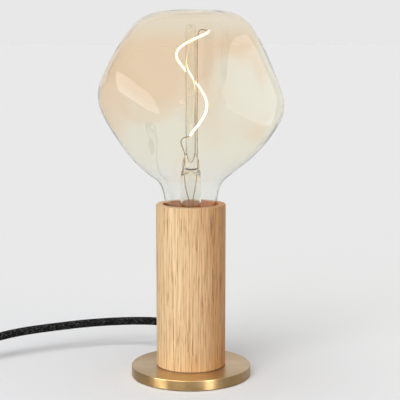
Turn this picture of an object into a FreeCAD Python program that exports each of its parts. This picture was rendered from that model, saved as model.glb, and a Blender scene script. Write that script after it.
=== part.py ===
import FreeCAD, Part
import math
import os

V = FreeCAD.Vector
os.makedirs("parts", exist_ok=True)

# Table lamp with a bare bulb, in millimetres. The origin is the centre of the underside,
# +Z is up, and the lamp is looked at along +Y. The cord leaves at the back and lies to -X.

# ---- driving dimensions -------------------------------------------------------------
PLATE_D = 93.4            # brass disc
PLATE_T = 8.0
PLATE_EDGE = 0.6
PAD_MARGIN = 3.2          # from the disc's edge to the felt pad let into the underside
PAD_T = 1.5
PAD_PROUD = 0.3
SPIGOT_H = 3.0            # turned step that centres the oak
TUBE_D = 54.0             # oak tube
TUBE_H = 127.6
TUBE_EDGE = 0.8
WELL_GAP = 2.0            # around the lampholder in the upper bore
WELL_DEPTH = 76.9         # from the rim down to the wooden web
FOOT_BORE_D = 35.0        # lower bore, for the wiring
WEB_T = 10.0              # wooden web between the bores
SCREW_D = 4.0             # wood screws, plate into oak
SCREW_HEAD_D = 8.0
SCREW_L = 22.0
SCREW_COUNT = 3
NIPPLE_D = 10.0           # hollow threaded tube
NIPPLE_BORE = 7.5
NUT_FLATS = 14.0
NUT_T = 4.0
WASHER_D = 20.0
WASHER_T = 1.5
NIPPLE_OUT = 1.0          # shows past the nut, and past the lampholder's neck
HOLDER_D = 39.0           # lampholder
HOLDER_WALL = 2.7
HOLDER_NECK_D = 17.0
HOLDER_NECK_H = 6.0
HOLDER_DOME_H = 8.0
HOLDER_H = 58.0
CORE_T = 12.0             # ceramic core
THREAD_PITCH = 25.4 / 7   # lamp cap thread, seven turns to the inch
THREAD_MID_R = 12.65      # mean radius of the cap's rolled thread
THREAD_WAVE = 0.45        # half the height of the rolled wave
SHEET_T = 0.35            # sheet brass of cap and socket
CONTACT_H = 35.0          # bulb's centre contact above the web
CONTACT_GAP = 0.3
CAP_H = 27.0              # bulb cap, contact to rim
INSULATOR_H = 6.5         # glass insulator below the cap's shell
CAP_RIM_R = 13.2
GLASS_WALL = 0.9
GLASS_CENTRE_H = 118.0    # above the contact
GLASS_SHARPNESS = 7.8     # how sharply the bulb's soft facets meet
DIMPLE_DEPTH = 2.2
DIMPLE_R = 14.0
STEM_TUBE_R = 8.0
STEM_ROD_R = 3.8
STEM_TOP_H = 179.0        # above the contact
LED_R = 1.3               # spiral filament
WIRE_R = 0.35
CORD_D = 6.8
CORE_D = 2.2              # one insulated core of the cord
CORE_OFFSET = 1.25        # from the cord's axis to the core's
CORD_EXIT_Z = 21.0
GRIP_SPIGOT_R = 5.5
GRIP_COLLAR_R = 7.5
GRIP_OUT = 16.0           # how far the cord grip stands out of the oak
SWITCH_L = 58.0           # rocker switch on the cord
SWITCH_W = 24.0
SWITCH_H = 16.4
SWITCH_AXIS_Z = 7.6
ROCKER_L = 19.0
ROCKER_W = 9.0
ROCKER_TILT = 9.0
PLUG_L = 36.0             # flat two-pin plug
PLUG_W = 35.0
PLUG_T = 13.7
PIN_D = 4.0
PIN_L = 19.0
PIN_SPREAD = 19.0
COIL_OUT_R = 47.5         # centre line of the put-away coil's outermost turn
COIL_GAP = 0.6            # between turns, and between layers
TIE_W = 10.0
TIE_T = 0.9

# ---- clearances ---------------------------------------------------------------------
PAD_FIT = 0.2
SPIGOT_FIT = 0.15
LOOSE_HOLE = 0.2          # around screws and the threaded tube
SKIRT_FIT = 0.1
THREAD_FIT = 0.3          # radial, between the cap's thread and the socket's
RUNNING_FIT = 0.06
SEAT_GAP = 0.1
FACE_GAP = 0.02           # between the cap's shell and the glass that carries it
TIE_FIT = 0.2
TIE_LIFT = 0.1            # the tie's underside above the table

# ---- derived heights ----------------------------------------------------------------
PLATE_R = PLATE_D / 2
PAD_R = PLATE_R - PAD_MARGIN
PLATE_Z = PAD_PROUD
PLATE_TOP = PLATE_Z + PLATE_T
TUBE_R = TUBE_D / 2
TUBE_TOP = PLATE_TOP + TUBE_H
WEB_TOP = TUBE_TOP - WELL_DEPTH
WEB_Z = WEB_TOP - WEB_T
FOOT_BORE_R = FOOT_BORE_D / 2
WELL_R = HOLDER_D / 2 + WELL_GAP
NIPPLE_R = NIPPLE_D / 2
WASHER_Z = WEB_Z - WASHER_T
NUT_Z = WASHER_Z - NUT_T
NIPPLE_Z = NUT_Z - NIPPLE_OUT
HOLDER_R = HOLDER_D / 2
HOLDER_IN_R = HOLDER_R - HOLDER_WALL
NECK_TOP = WEB_TOP + HOLDER_NECK_H
NIPPLE_TOP = NECK_TOP + 3 + NIPPLE_OUT
DOME_TOP = NECK_TOP + HOLDER_DOME_H
HOLDER_SKIRT_TOP = WEB_TOP + HOLDER_H
CONTACT_Z = WEB_TOP + CONTACT_H
CORE_Z = CONTACT_Z - 2 - CORE_T
CORE_TOP = CORE_Z + CORE_T
SKIRT_Z = CORE_Z + 2
CAP_TOP = CONTACT_Z + CAP_H
CAP_THREAD_Z = CONTACT_Z + 7
GLASS_FOOT_Z = CAP_TOP - 9
GLASS_CENTRE_Z = CONTACT_Z + GLASS_CENTRE_H
STEM_TOP_Z = CONTACT_Z + STEM_TOP_H
CORD_R = CORD_D / 2
GRIP_END_Y = TUBE_R + GRIP_OUT
COIL_PITCH = CORD_D + COIL_GAP
COIL_Z = TIE_LIFT + TIE_T + TIE_FIT + CORD_R   # centre line of the lower layer

# ---- the bulb's form: soft facets (azimuth, elevation, distance from the centre) ------
FACETS = [(0, 90, 73.0), (0, -90, 56.3)]
FACETS += [(180 + 72 * k, tilt, far) for k, (tilt, far) in enumerate(
    [(29.0, 70.3), (26.3, 65.2), (21.4, 60.4), (18.2, 65.1), (30.0, 65.2)])]
FACETS += [(72 * k, tilt, far) for k, (tilt, far) in enumerate(
    [(-40.4, 62.6), (-38.9, 57.8), (-30.4, 57.6), (-27.0, 57.4), (-40.0, 58.6)])]
# Its neck: radius, and height above the contact.
NECK = [(11.6, 18.0), (11.7, 23.5), (12.45, 27.0), (16.0, 32.5), (18.5, 37.0), (19.8, 42.0),
        (21.0, 49.0), (22.5, 55.0), (25.0, 60.5), (28.0, 66.0), (30.0, 72.0), (31.0, 86.0)]

# ---- cord routes, chosen by hand ------------------------------------------------------
LEAD_ROUTE = [(0, 43, 21), (0, 58, 21), (-6, 73, 20.9), (-17.5, 84.6, 20.7), (-34, 92, 20.5),
              (-58, 93, 20), (-87, 87, 19.7), (-117, 74.5, 19.6), (-146, 57, 19.9),
              (-170, 38, 17.4), (-184, 25, 12.4), (-197, 12.75, 7.6), (-210.6, 2.55, 7.6)]
SWITCH_START = V(-205, 6.75, SWITCH_AXIS_Z)
SWITCH_WAY = V(-0.8, -0.6, 0)
CORD_IN_SWITCH = 7.0
TO_COIL = 40.0            # straight from the switch to the coil
FEED_RUN = 12.0           # level run at each end of that stretch
COIL_START = -53.13       # azimuth where the cord joins, going clockwise
COIL_TURNS = 5 + 171.87 / 360
PLUG_START = V(-267, 67.5, PLUG_T / 2)
PLUG_SLEEVE = 20.0        # tapered sleeve where the cord goes into the plug
CORD_IN_PLUG = 8.0
END_ROUTE = [(-316, 51, 9), (-301, 61.5, 7.4), (-284, 67, 6.9), (-273, 67.5, 6.85)]


# ---- helpers --------------------------------------------------------------------------
def save(name, shape):
    """Write one piece, and print its solids and volume."""
    solids = shape.Solids
    shape = solids[0] if len(solids) == 1 else Part.makeCompound(solids)
    if not solids or not shape.isValid():
        raise RuntimeError("bad shape: " + name)
    shape.exportStep("parts/" + name + ".step")
    print("%-22s solids %d  volume %.1f" % (name, len(solids), shape.Volume))
    return shape


def rod(radius, start, end):
    """A round bar between two points."""
    way = end - start
    return Part.makeCylinder(radius, way.Length, start, way)


def upright(radius, low, high, x=0.0, y=0.0):
    return rod(radius, V(x, y, low), V(x, y, high))


def ring(outer, inner, low, high, x=0.0, y=0.0):
    return upright(outer, low, high, x, y).cut(upright(inner, low - 1, high + 1, x, y))


def block(low, high):
    size = high - low
    return Part.makeBox(size.x, size.y, size.z, low)


def turned(outline, x=0.0, y=0.0):
    """A solid of revolution from (radius, height) points."""
    points = [V(r + x, y, z) for r, z in outline]
    face = Part.Face(Part.makePolygon(points + points[:1]))
    return face.revolve(V(x, y, 0), V(0, 0, 1), 360)


def rounded(shape, radius, chosen):
    """Fillet the edges for which chosen(edge) holds."""
    return shape.makeFillet(radius, [e for e in shape.Edges if chosen(e)])


def is_circle(edge, radius):
    return hasattr(edge.Curve, "Radius") and abs(edge.Curve.Radius - radius) < 1e-6


def unit(vector):
    return vector * (1 / vector.Length)


def circle_at(point, way, radius):
    return Part.Wire(Part.Circle(point, way, radius).toShape())


def swept(wire, start, way, radius):
    """A round tube along a wire of lines and arcs."""
    shell = Part.BRepOffsetAPI.MakePipeShell(wire)
    shell.add(circle_at(start, way, radius))
    shell.build()
    shell.makeSolid()
    return shell.shape()


def tangent_arc(start, corner, end):
    """The arc that leaves start towards corner and reaches end from corner."""
    chord = end - start
    middle = (start + end) * 0.5
    rise = (corner - middle).Length
    if rise < 1e-7:
        return Part.LineSegment(start, end).toShape()
    half = math.atan2(rise, chord.Length / 2)
    top = middle + (corner - middle) * (chord.Length / 2 * math.tan(half / 2) / rise)
    return Part.Arc(start, top, end).toShape()


def bend_share(before, corner, after, share):
    """Distance of the arc's ends from the corner, and its radius."""
    run_in, run_out = corner - before, after - corner
    reach = share * min(run_in.Length, run_out.Length)
    return reach, reach / math.tan(run_in.getAngle(run_out) / 2)


def routed_tube(points, radius, share=0.45, name=""):
    """A tube on straight runs joined by tangent arcs, each as large as its runs allow."""
    points = [V(*p) for p in points]
    edges, here, radii = [], points[0], []
    for before, corner, after in zip(points, points[1:], points[2:]):
        if (corner - before).getAngle(after - corner) < 1e-4:
            continue
        reach, bend = bend_share(before, corner, after, share)
        start = corner + unit(before - corner) * reach
        end = corner + unit(after - corner) * reach
        edges += [Part.LineSegment(here, start).toShape(), tangent_arc(start, corner, end)]
        here = end
        radii.append(bend)
    edges.append(Part.LineSegment(here, points[-1]).toShape())
    wire = Part.Wire(edges)
    tube = swept(wire, points[0], points[1] - points[0], radius)
    if name:
        ratio = tube.Volume / (math.pi * radius ** 2 * wire.Length)
        print("%s: length %.1f, radii %s, volume ratio %.4f"
              % (name, wire.Length, [round(r, 1) for r in radii], ratio))
    return tube


def biarc(start, way, end, end_way):
    """Two arcs that join two points with given directions."""
    gap = end - start
    both = way + end_way
    spread = 2 * (1 - way.dot(end_way))
    if spread < 1e-9:
        reach = gap.dot(gap) / (4 * gap.dot(end_way))
    else:
        along = gap.dot(both)
        reach = (math.sqrt(along ** 2 + spread * gap.dot(gap)) - along) / spread
    first, second = start + way * reach, end - end_way * reach
    middle = (first + second) * 0.5
    return [tangent_arc(start, first, middle), tangent_arc(middle, second, end)]


def wound_tube(place, steps, radius, lead=0.0, tail=0.0):
    """A tube on biarcs through place(0) to place(steps), straight for lead and tail."""
    small = 1e-4

    def way(at):
        return unit(place(at + small) - place(at - small))

    edges = []
    for k in range(steps):
        edges += biarc(place(k), way(k), place(k + 1), way(k + 1))
    start = place(0) - way(0) * lead
    if lead:
        edges.insert(0, Part.LineSegment(start, place(0)).toShape())
    if tail:
        edges.append(Part.LineSegment(place(steps), place(steps) + way(steps) * tail).toShape())
    wire = Part.Wire(edges)
    return swept(wire, start, way(0), radius), wire


def lofted(rows):
    """A solid through closed smooth rows of points, with flat ends."""
    wires = []
    for row in rows:
        curve = Part.BSplineCurve()
        curve.interpolate(Points=row, PeriodicFlag=True)
        wires.append(Part.Wire(curve.toShape()))
    return Part.makeLoft(wires, True, False)


def smooth_step(value, low, high):
    share = min(1.0, max(0.0, (value - low) / (high - low)))
    return share * share * (3 - 2 * share)


# ---- base -------------------------------------------------------------------------------
def make_foot_pad():
    return upright(PAD_R, 0, PAD_T)


def screw_places():
    middle = (TUBE_R + FOOT_BORE_R) / 2
    for k in range(SCREW_COUNT):
        angle = math.radians(90 + 360 / SCREW_COUNT * (k + 0.5))
        yield middle * math.cos(angle), middle * math.sin(angle)


def screw_body(x, y, grown=0.0):
    head = (SCREW_HEAD_D - SCREW_D) / 2
    r = SCREW_D / 2
    low = PAD_T
    outline = [(0, low), (r + head + grown, low), (r + grown, low + head),
               (r + grown, low + SCREW_L - 3), (0.4, low + SCREW_L), (0, low + SCREW_L)]
    return turned(outline, x, y)


def make_base_plate():
    plate = upright(PLATE_R, PLATE_Z, PLATE_TOP)
    plate = rounded(plate, PLATE_EDGE, lambda e: is_circle(e, PLATE_R))
    plate = plate.fuse(upright(FOOT_BORE_R - SPIGOT_FIT, PLATE_TOP - 1, PLATE_TOP + SPIGOT_H))
    plate = plate.cut(upright(PAD_R + PAD_FIT, PLATE_Z - 1, PAD_T))
    for x, y in screw_places():
        plate = plate.cut(screw_body(x, y, LOOSE_HOLE))
    return plate.removeSplitter()


def make_base_screws():
    screws = []
    for x, y in screw_places():
        arm, wide, deep = 2.4, 0.45, 1.6
        low, high = PAD_T - 1, PAD_T + deep
        slot = block(V(x - arm, y - wide, low), V(x + arm, y + wide, high))
        slot = slot.fuse(block(V(x - wide, y - arm, low), V(x + wide, y + arm, high)))
        screws.append(screw_body(x, y).cut(slot))
    return Part.makeCompound(screws)


# ---- oak tube -----------------------------------------------------------------------------
def make_oak_tube():
    tube = upright(TUBE_R, PLATE_TOP, TUBE_TOP)
    tube = rounded(tube, TUBE_EDGE, lambda e: is_circle(e, TUBE_R) and e.Vertexes[0].Z > WEB_Z)
    tube = tube.cut(upright(WELL_R, WEB_TOP, TUBE_TOP + 1))
    tube = rounded(tube, TUBE_EDGE / 2,
                   lambda e: is_circle(e, WELL_R) and e.Vertexes[0].Z > WEB_TOP + 1)
    tube = tube.cut(upright(FOOT_BORE_R, PLATE_TOP - 1, WEB_Z))
    tube = tube.cut(upright(NIPPLE_R + LOOSE_HOLE, WEB_Z - 1, WEB_TOP + 1))
    tube = tube.cut(rod(GRIP_SPIGOT_R, V(0, 0, CORD_EXIT_Z), V(0, TUBE_R + 1, CORD_EXIT_Z)))
    seat = grip_seat_y()
    tube = tube.cut(rod(GRIP_COLLAR_R + LOOSE_HOLE, V(0, seat, CORD_EXIT_Z),
                        V(0, TUBE_R + 5, CORD_EXIT_Z)))
    for x, y in screw_places():
        tube = tube.cut(screw_body(x, y))
    return tube


# ---- threaded tube, nut and washer ----------------------------------------------------------
def make_threaded_tube():
    return ring(NIPPLE_R, NIPPLE_BORE / 2, NIPPLE_Z, NIPPLE_TOP)


def make_tube_nut():
    corner = NUT_FLATS / math.sqrt(3)
    points = [V(corner * math.cos(math.radians(60 * k)), corner * math.sin(math.radians(60 * k)),
                NUT_Z) for k in range(7)]
    nut = Part.Face(Part.makePolygon(points)).extrude(V(0, 0, NUT_T))
    chamfer = turned([(0, NUT_Z), (NUT_FLATS / 2, NUT_Z), (corner + 0.1, NUT_Z + 0.7),
                      (corner + 0.1, NUT_Z + NUT_T), (0, NUT_Z + NUT_T)])
    return nut.common(chamfer).cut(upright(NIPPLE_R, NUT_Z - 1, WEB_Z))


def make_tube_washer():
    return ring(WASHER_D / 2, NIPPLE_R + LOOSE_HOLE, WASHER_Z, WEB_Z)


# ---- lampholder --------------------------------------------------------------------------------
LEDGE_R = HOLDER_IN_R - 2.8
SPIGOT_TOP = SKIRT_Z + 5
LAP_R = HOLDER_R - 1.3
GRUB_Z = WEB_TOP + HOLDER_NECK_H / 2


def make_holder_cap():
    neck = HOLDER_NECK_D / 2
    outside = [(neck, WEB_TOP), (neck, NECK_TOP), (neck + 5, NECK_TOP + 1.5),
               (HOLDER_R - 2, DOME_TOP - 3), (HOLDER_R, DOME_TOP), (HOLDER_R, SKIRT_Z),
               (LAP_R, SKIRT_Z), (LAP_R, SPIGOT_TOP), (HOLDER_IN_R, SPIGOT_TOP)]
    inside = [(HOLDER_IN_R, CORE_Z), (LEDGE_R, CORE_Z), (LEDGE_R, DOME_TOP),
              (neck + 2, NECK_TOP + 3), (NIPPLE_R, NECK_TOP + 3), (NIPPLE_R, WEB_TOP)]
    cap = turned(outside + inside)
    return cap.cut(rod(1.5, V(0, 0, GRUB_Z), V(neck + 1, 0, GRUB_Z)))


def make_holder_grub_screw():
    screw = rod(1.5, V(NIPPLE_R, 0, GRUB_Z), V(HOLDER_NECK_D / 2 - 0.3, 0, GRUB_Z))
    slot = block(V(HOLDER_NECK_D / 2 - 1.2, -2, GRUB_Z - 0.3), V(HOLDER_NECK_D, 2, GRUB_Z + 0.3))
    return screw.cut(slot)


MOUTH_R = 14.4
MOUTH_Z = HOLDER_SKIRT_TOP - 4


def make_holder_skirt():
    inner = HOLDER_R - 1.9
    lap = LAP_R + SKIRT_FIT
    outline = [(HOLDER_R, SKIRT_Z), (HOLDER_R, HOLDER_SKIRT_TOP - 1.5),
               (HOLDER_R - 1.5, HOLDER_SKIRT_TOP), (MOUTH_R, HOLDER_SKIRT_TOP),
               (MOUTH_R, MOUTH_Z), (inner, MOUTH_Z - 2), (inner, SPIGOT_TOP + 1),
               (lap, SPIGOT_TOP + 1), (lap, SKIRT_Z)]
    return turned(outline)


CORE_R = HOLDER_IN_R - 0.2
SHELL_FLANGE_Z = CORE_TOP + 3
TERMINAL_X = 10.5
TERMINAL_SIZE = V(5.6, 8.0, 7.0)
LEG_X = 12.6


def terminal_block(side, grown=0.0):
    half = TERMINAL_SIZE * 0.5 + V(grown, grown, 0)
    centre = V(side * TERMINAL_X, 0, 0)
    return block(centre + V(-half.x, -half.y, CORE_Z),
                 centre + V(half.x, half.y, CORE_Z + TERMINAL_SIZE.z + grown))


def contact_leg(side, top, grown=0.0):
    x = side * LEG_X
    wide = 2.0 + grown
    thick = 0.25 + grown
    return block(V(x - thick, -wide, CORE_Z + TERMINAL_SIZE.z), V(x + thick, wide, top))


def socket_outer_r():
    return THREAD_MID_R + THREAD_FIT + THREAD_WAVE + SHEET_T


def make_holder_core():
    rim = socket_outer_r() + 0.3
    core = turned([(0, CORE_Z), (CORE_R, CORE_Z), (CORE_R, SHELL_FLANGE_Z + 5),
                   (rim, SHELL_FLANGE_Z + 5), (rim, SHELL_FLANGE_Z), (rim - 3.4, SHELL_FLANGE_Z),
                   (rim - 3.4, CORE_TOP), (0, CORE_TOP)])
    for side in (-1, 1):
        core = core.cut(terminal_block(side, 0.1))
    core = core.cut(block(V(-LEG_X - 0.45, -3.2, CORE_TOP), V(-7, 3.2, SHELL_FLANGE_Z)))
    core = core.cut(contact_leg(-1, SHELL_FLANGE_Z, 0.1)).cut(contact_leg(1, CORE_TOP + 9, 0.1))
    return core


def make_terminal_blocks():
    blocks = []
    for side in (-1, 1):
        piece = terminal_block(side)
        piece = piece.cut(upright(1.5, CORE_Z - 1, CORE_Z + 5, side * TERMINAL_X, 2.0))
        piece = piece.cut(upright(CORE_D / 2, CORE_Z - 1, CORE_Z + 4, side * TERMINAL_X, -2.2))
        blocks.append(piece)
    return Part.makeCompound(blocks)


def make_terminal_screws():
    screws = []
    for side in (-1, 1):
        x, y = side * TERMINAL_X, 2.0
        screw = upright(1.5, CORE_Z, CORE_Z + 4.5, x, y).fuse(
            upright(1.9, CORE_Z - 1.8, CORE_Z, x, y))
        screws.append(screw.cut(block(V(x - 3, y - 0.3, CORE_Z - 2), V(x + 3, y + 0.3, CORE_Z - 1))))
    return Part.makeCompound(screws)


def make_centre_contact():
    """Bronze tongue on the core, pressed down under the bulb's contact, with its leg."""
    thick, half = 0.4, 3.0
    top = CONTACT_Z - CONTACT_GAP
    path = [(-LEG_X - 0.25, CORE_TOP), (-7.5, CORE_TOP), (-3, top - thick), (2.5, top - thick),
            (4.5, top - thick - 0.9), (4.7, top - 0.55), (2.7, top), (-3.2, top),
            (-7.7, CORE_TOP + thick), (-LEG_X - 0.25, CORE_TOP + thick)]
    points = [V(x, -half, z) for x, z in path]
    tongue = Part.Face(Part.makePolygon(points + points[:1])).extrude(V(0, 2 * half, 0))
    return tongue.fuse(contact_leg(-1, CORE_TOP))


def make_side_contact():
    """Strip from the other terminal up beside the threaded shell."""
    leg = contact_leg(1, SHELL_FLANGE_Z)
    inner = socket_outer_r() - 1.0
    foot = block(V(inner, -2.0, SHELL_FLANGE_Z - 0.4), V(LEG_X + 0.25, 2.0, SHELL_FLANGE_Z))
    return leg.fuse(foot)


def thread_r(azimuth, z):
    """Rolled thread: the crest climbs one pitch in a turn, right-handed."""
    return THREAD_WAVE * math.cos(2 * math.pi * z / THREAD_PITCH - azimuth)


def cap_r(azimuth, z):
    """Outside of the bulb's cap: thread, run-outs, then the plain rim."""
    ease = 1 - smooth_step(z, CAP_THREAD_Z, CAP_THREAD_Z + 2)
    ease = max(ease, smooth_step(z, CAP_TOP - 7, CAP_TOP - 4.5))
    wave = thread_r(azimuth, z)
    plain = (CAP_RIM_R - THREAD_MID_R + THREAD_WAVE) * smooth_step(z, CAP_TOP - 4.5, CAP_TOP - 3)
    return THREAD_MID_R + wave - ease * (wave + THREAD_WAVE) + plain


SOCKET_TOP = HOLDER_SKIRT_TOP - 2


def socket_r(azimuth, z):
    """Inside of the socket's shell, clear of the cap's thread all the way."""
    ease = 1 - smooth_step(z, SHELL_FLANGE_Z + 1, SHELL_FLANGE_Z + 3)
    ease = max(ease, smooth_step(z, SOCKET_TOP - 2.5, SOCKET_TOP - 0.5))
    wave = thread_r(azimuth, z)
    return THREAD_MID_R + THREAD_FIT + wave + ease * (THREAD_WAVE - wave)


def thread_rows(radius, low, high, grown=0.0):
    """Closed rows of points up a threaded sleeve."""
    columns, steps = 20, max(2, round((high - low) / (THREAD_PITCH / 9)))
    levels = [low + (high - low) * k / steps for k in range(steps + 1)]
    rows = []
    for z in levels:
        row = []
        for k in range(columns):
            azimuth = 2 * math.pi * k / columns
            r = radius(azimuth, z) + grown
            row.append(V(r * math.cos(azimuth), r * math.sin(azimuth), z))
        rows.append(row)
    return rows


def make_socket_shell():
    low = SHELL_FLANGE_Z
    outer = lofted(thread_rows(socket_r, low, SOCKET_TOP, SHEET_T))
    inner = lofted(thread_rows(socket_r, low, SOCKET_TOP + 1))
    inner = inner.cut(upright(30, low - 1, low + SHEET_T))
    return outer.cut(inner).cut(upright(10, low - 1, low + 1))


# ---- wiring inside ----------------------------------------------------------------------------------
TAIL_END_Y = 9.0


def make_cord_tail():
    """Braided jacket from the cord grip to where the cores part."""
    tail = rod(CORD_R, V(0, TAIL_END_Y, CORD_EXIT_Z), V(0, GRIP_END_Y, CORD_EXIT_Z))
    for side in (-1, 1):
        x = side * CORE_OFFSET
        tail = tail.cut(rod(CORE_D / 2, V(x, TAIL_END_Y - 1, CORD_EXIT_Z),
                            V(x, TAIL_END_Y + 3, CORD_EXIT_Z)))
    return tail


def make_core_wire(side):
    x = side * CORE_OFFSET
    top = CORE_Z - 8
    route = [(x, TAIL_END_Y + 3, CORD_EXIT_Z), (x, 4, CORD_EXIT_Z), (x, 0, CORD_EXIT_Z + 8),
             (x, 0, CORD_EXIT_Z + 26), (x, 0, NIPPLE_TOP + 1), (side * 8, -2.2, top),
             (side * TERMINAL_X, -2.2, CORE_Z - 3), (side * TERMINAL_X, -2.2, CORE_Z + 4)]
    return routed_tube(route, CORE_D / 2)


# ---- cord grip ------------------------------------------------------------------------------------------
def grip_seat_y():
    return math.sqrt(TUBE_R ** 2 - (GRIP_COLLAR_R + LOOSE_HOLE) ** 2) - 0.1


def along_y(solid):
    """Turn a solid built up from z = 0 so that it lies along +Y at the cord's exit."""
    solid = solid.copy()
    solid.rotate(V(0, 0, 0), V(1, 0, 0), -90)
    solid.translate(V(0, 0, CORD_EXIT_Z))
    return solid


def make_cord_grip():
    seat, end = grip_seat_y(), GRIP_END_Y
    grip = along_y(turned([(CORD_R, 16.5), (GRIP_SPIGOT_R, 16.5), (GRIP_SPIGOT_R, seat),
                           (GRIP_COLLAR_R, seat), (GRIP_COLLAR_R, TUBE_R + 6),
                           (CORD_R + 1.2, end), (CORD_R, end)]))
    y = TUBE_R + 3
    return grip.cut(rod(1.6, V(0, y, CORD_EXIT_Z), V(0, y, CORD_EXIT_Z - 10)))


def make_cord_grip_screw():
    y = TUBE_R + 3
    top, low = CORD_EXIT_Z - CORD_R, CORD_EXIT_Z - GRIP_COLLAR_R + 0.3
    screw = upright(1.6, low, top, 0, y)
    return screw.cut(block(V(-2, y - 0.3, low - 1), V(2, y + 0.3, low + 1)))


# ---- bulb ---------------------------------------------------------------------------------------------------
def facet_normals():
    for azimuth, tilt, far in FACETS:
        a, e = math.radians(azimuth), math.radians(tilt)
        yield V(math.cos(e) * math.cos(a), math.cos(e) * math.sin(a), math.sin(e)) * (1 / far)


NORMALS = list(facet_normals())


def reach(point):
    """1 on the faceted body's surface, less inside; grows in proportion along any ray."""
    total = sum(max(0.0, n.dot(point)) ** GLASS_SHARPNESS for n in NORMALS)
    return total ** (1 / GLASS_SHARPNESS)


def body_r(azimuth, z):
    """Radius of the faceted body at a height, or 0 where it doesn't reach."""
    out = V(math.cos(azimuth), math.sin(azimuth), 0)
    up = V(0, 0, z - GLASS_CENTRE_Z)
    if reach(up) >= 1:
        return 0.0
    low, high = 0.0, 120.0
    for _ in range(40):
        middle = (low + high) / 2
        low, high = (middle, high) if reach(out * middle + up) < 1 else (low, middle)
    return low


def neck_curve():
    curve = Part.BSplineCurve()
    curve.interpolate(Points=[V(r, 0, CONTACT_Z + h) for r, h in NECK])
    return curve


NECK_CURVE = neck_curve()


def neck_r(z):
    line = Part.LineSegment(V(0, 0, z), V(60, 0, z))
    return NECK_CURVE.intersectCC(line)[0].X


GLASS_COLUMNS = 30
GLASS_LEVELS = [18, 20.5, 23, 25.5, 28, 30.5, 33, 36, 39, 42, 46, 50, 54, 58, 61.5, 65, 69,
                73.5, 79, 85]    # above the contact
GLASS_TILTS = [-20, -12, -4, 4, 12, 20, 28, 36, 44, 52, 60, 67, 73, 78, 82.5]
GLASS_TOP_R = 4.0


def glass_row_at_height(z):
    neck = neck_r(z)
    row = []
    for k in range(GLASS_COLUMNS):
        azimuth = 2 * math.pi * k / GLASS_COLUMNS
        r = (neck ** 10 + body_r(azimuth, z) ** 10) ** 0.1
        row.append(V(r * math.cos(azimuth), r * math.sin(azimuth), z))
    return row


def dimpled(point):
    away = math.hypot(point.x, point.y) / DIMPLE_R
    return point - V(0, 0, DIMPLE_DEPTH * math.exp(-away ** 2))


def glass_row_at_tilt(tilt):
    e = math.radians(tilt)
    row = []
    for k in range(GLASS_COLUMNS):
        azimuth = 2 * math.pi * k / GLASS_COLUMNS
        way = V(math.cos(e) * math.cos(azimuth), math.cos(e) * math.sin(azimuth), math.sin(e))
        point = dimpled(way * (1 / reach(way)))
        row.append(point + V(0, 0, GLASS_CENTRE_Z))
    return row


def glass_rows():
    rows = [glass_row_at_height(CONTACT_Z + h) for h in GLASS_LEVELS]
    rows += [glass_row_at_tilt(t) for t in GLASS_TILTS]
    last = glass_row_at_tilt(math.degrees(math.atan2(FACETS[0][2] - DIMPLE_DEPTH, GLASS_TOP_R)))
    level = sum(p.z for p in last) / len(last)
    rows.append([V(p.x, p.y, level) for p in last])
    return rows


def inset_rows(rows, wall):
    """The same rows moved inwards by the wall, square to the surface."""
    moved = []
    for i, row in enumerate(rows):
        before, after = rows[max(0, i - 1)], rows[min(len(rows) - 1, i + 1)]
        new = []
        for k, point in enumerate(row):
            round_way = row[(k + 1) % len(row)] - row[k - 1]
            up_way = after[k] - before[k]
            out = unit(round_way.cross(up_way))
            new.append(point - out * wall)
        moved.append(new)
    level = rows[-1][0].z - wall
    moved[0] = [V(p.x, p.y, rows[0][0].z - wall) for p in moved[0]]
    moved[-1] = [V(p.x, p.y, level) for p in moved[-1]]
    return moved


def make_bulb_glass():
    rows = glass_rows()
    return lofted(rows).cut(lofted(inset_rows(rows, GLASS_WALL)))


def make_bulb_cap():
    low = CONTACT_Z + INSULATOR_H
    outer = lofted(thread_rows(cap_r, low, CAP_TOP))
    inner = lofted(thread_rows(cap_r, low - 1, CAP_TOP + 1, -SHEET_T))
    return outer.cut(inner)


CONTACT_R = 4.7
ROOT_R = THREAD_MID_R - THREAD_WAVE


def make_bulb_insulator():
    low, lip = CONTACT_Z + 0.9, CONTACT_Z + INSULATOR_H - FACE_GAP
    plug = ROOT_R - SHEET_T - SEAT_GAP
    seat = CONTACT_Z + 1.8 + SEAT_GAP
    return turned([(CONTACT_R + RUNNING_FIT, low), (6.0, low), (ROOT_R - 0.1, lip - 0.6),
                   (ROOT_R - 0.1, lip), (plug, lip), (plug, lip + 2), (8.5, lip + 2),
                   (6.0, lip - 2), (1.0, lip - 2), (1.0, seat), (CONTACT_R + RUNNING_FIT, seat)])


def make_bulb_contact():
    top = CONTACT_Z + 1.8
    return turned([(0, CONTACT_Z), (2.5, CONTACT_Z), (CONTACT_R - 0.4, CONTACT_Z + 0.5),
                   (CONTACT_R, CONTACT_Z + 1.0), (CONTACT_R, top), (0, top)])


PINCH_LOW = CONTACT_Z + 69
PINCH_HIGH = CONTACT_Z + 76
PINCH_BEND = 5.0          # height in which the round flare tube is pressed flat


def oval(z, half_x, half_y):
    shape = Part.Ellipse(V(0, 0, z), half_x, half_y).toShape()
    return Part.Wire(shape)


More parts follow.
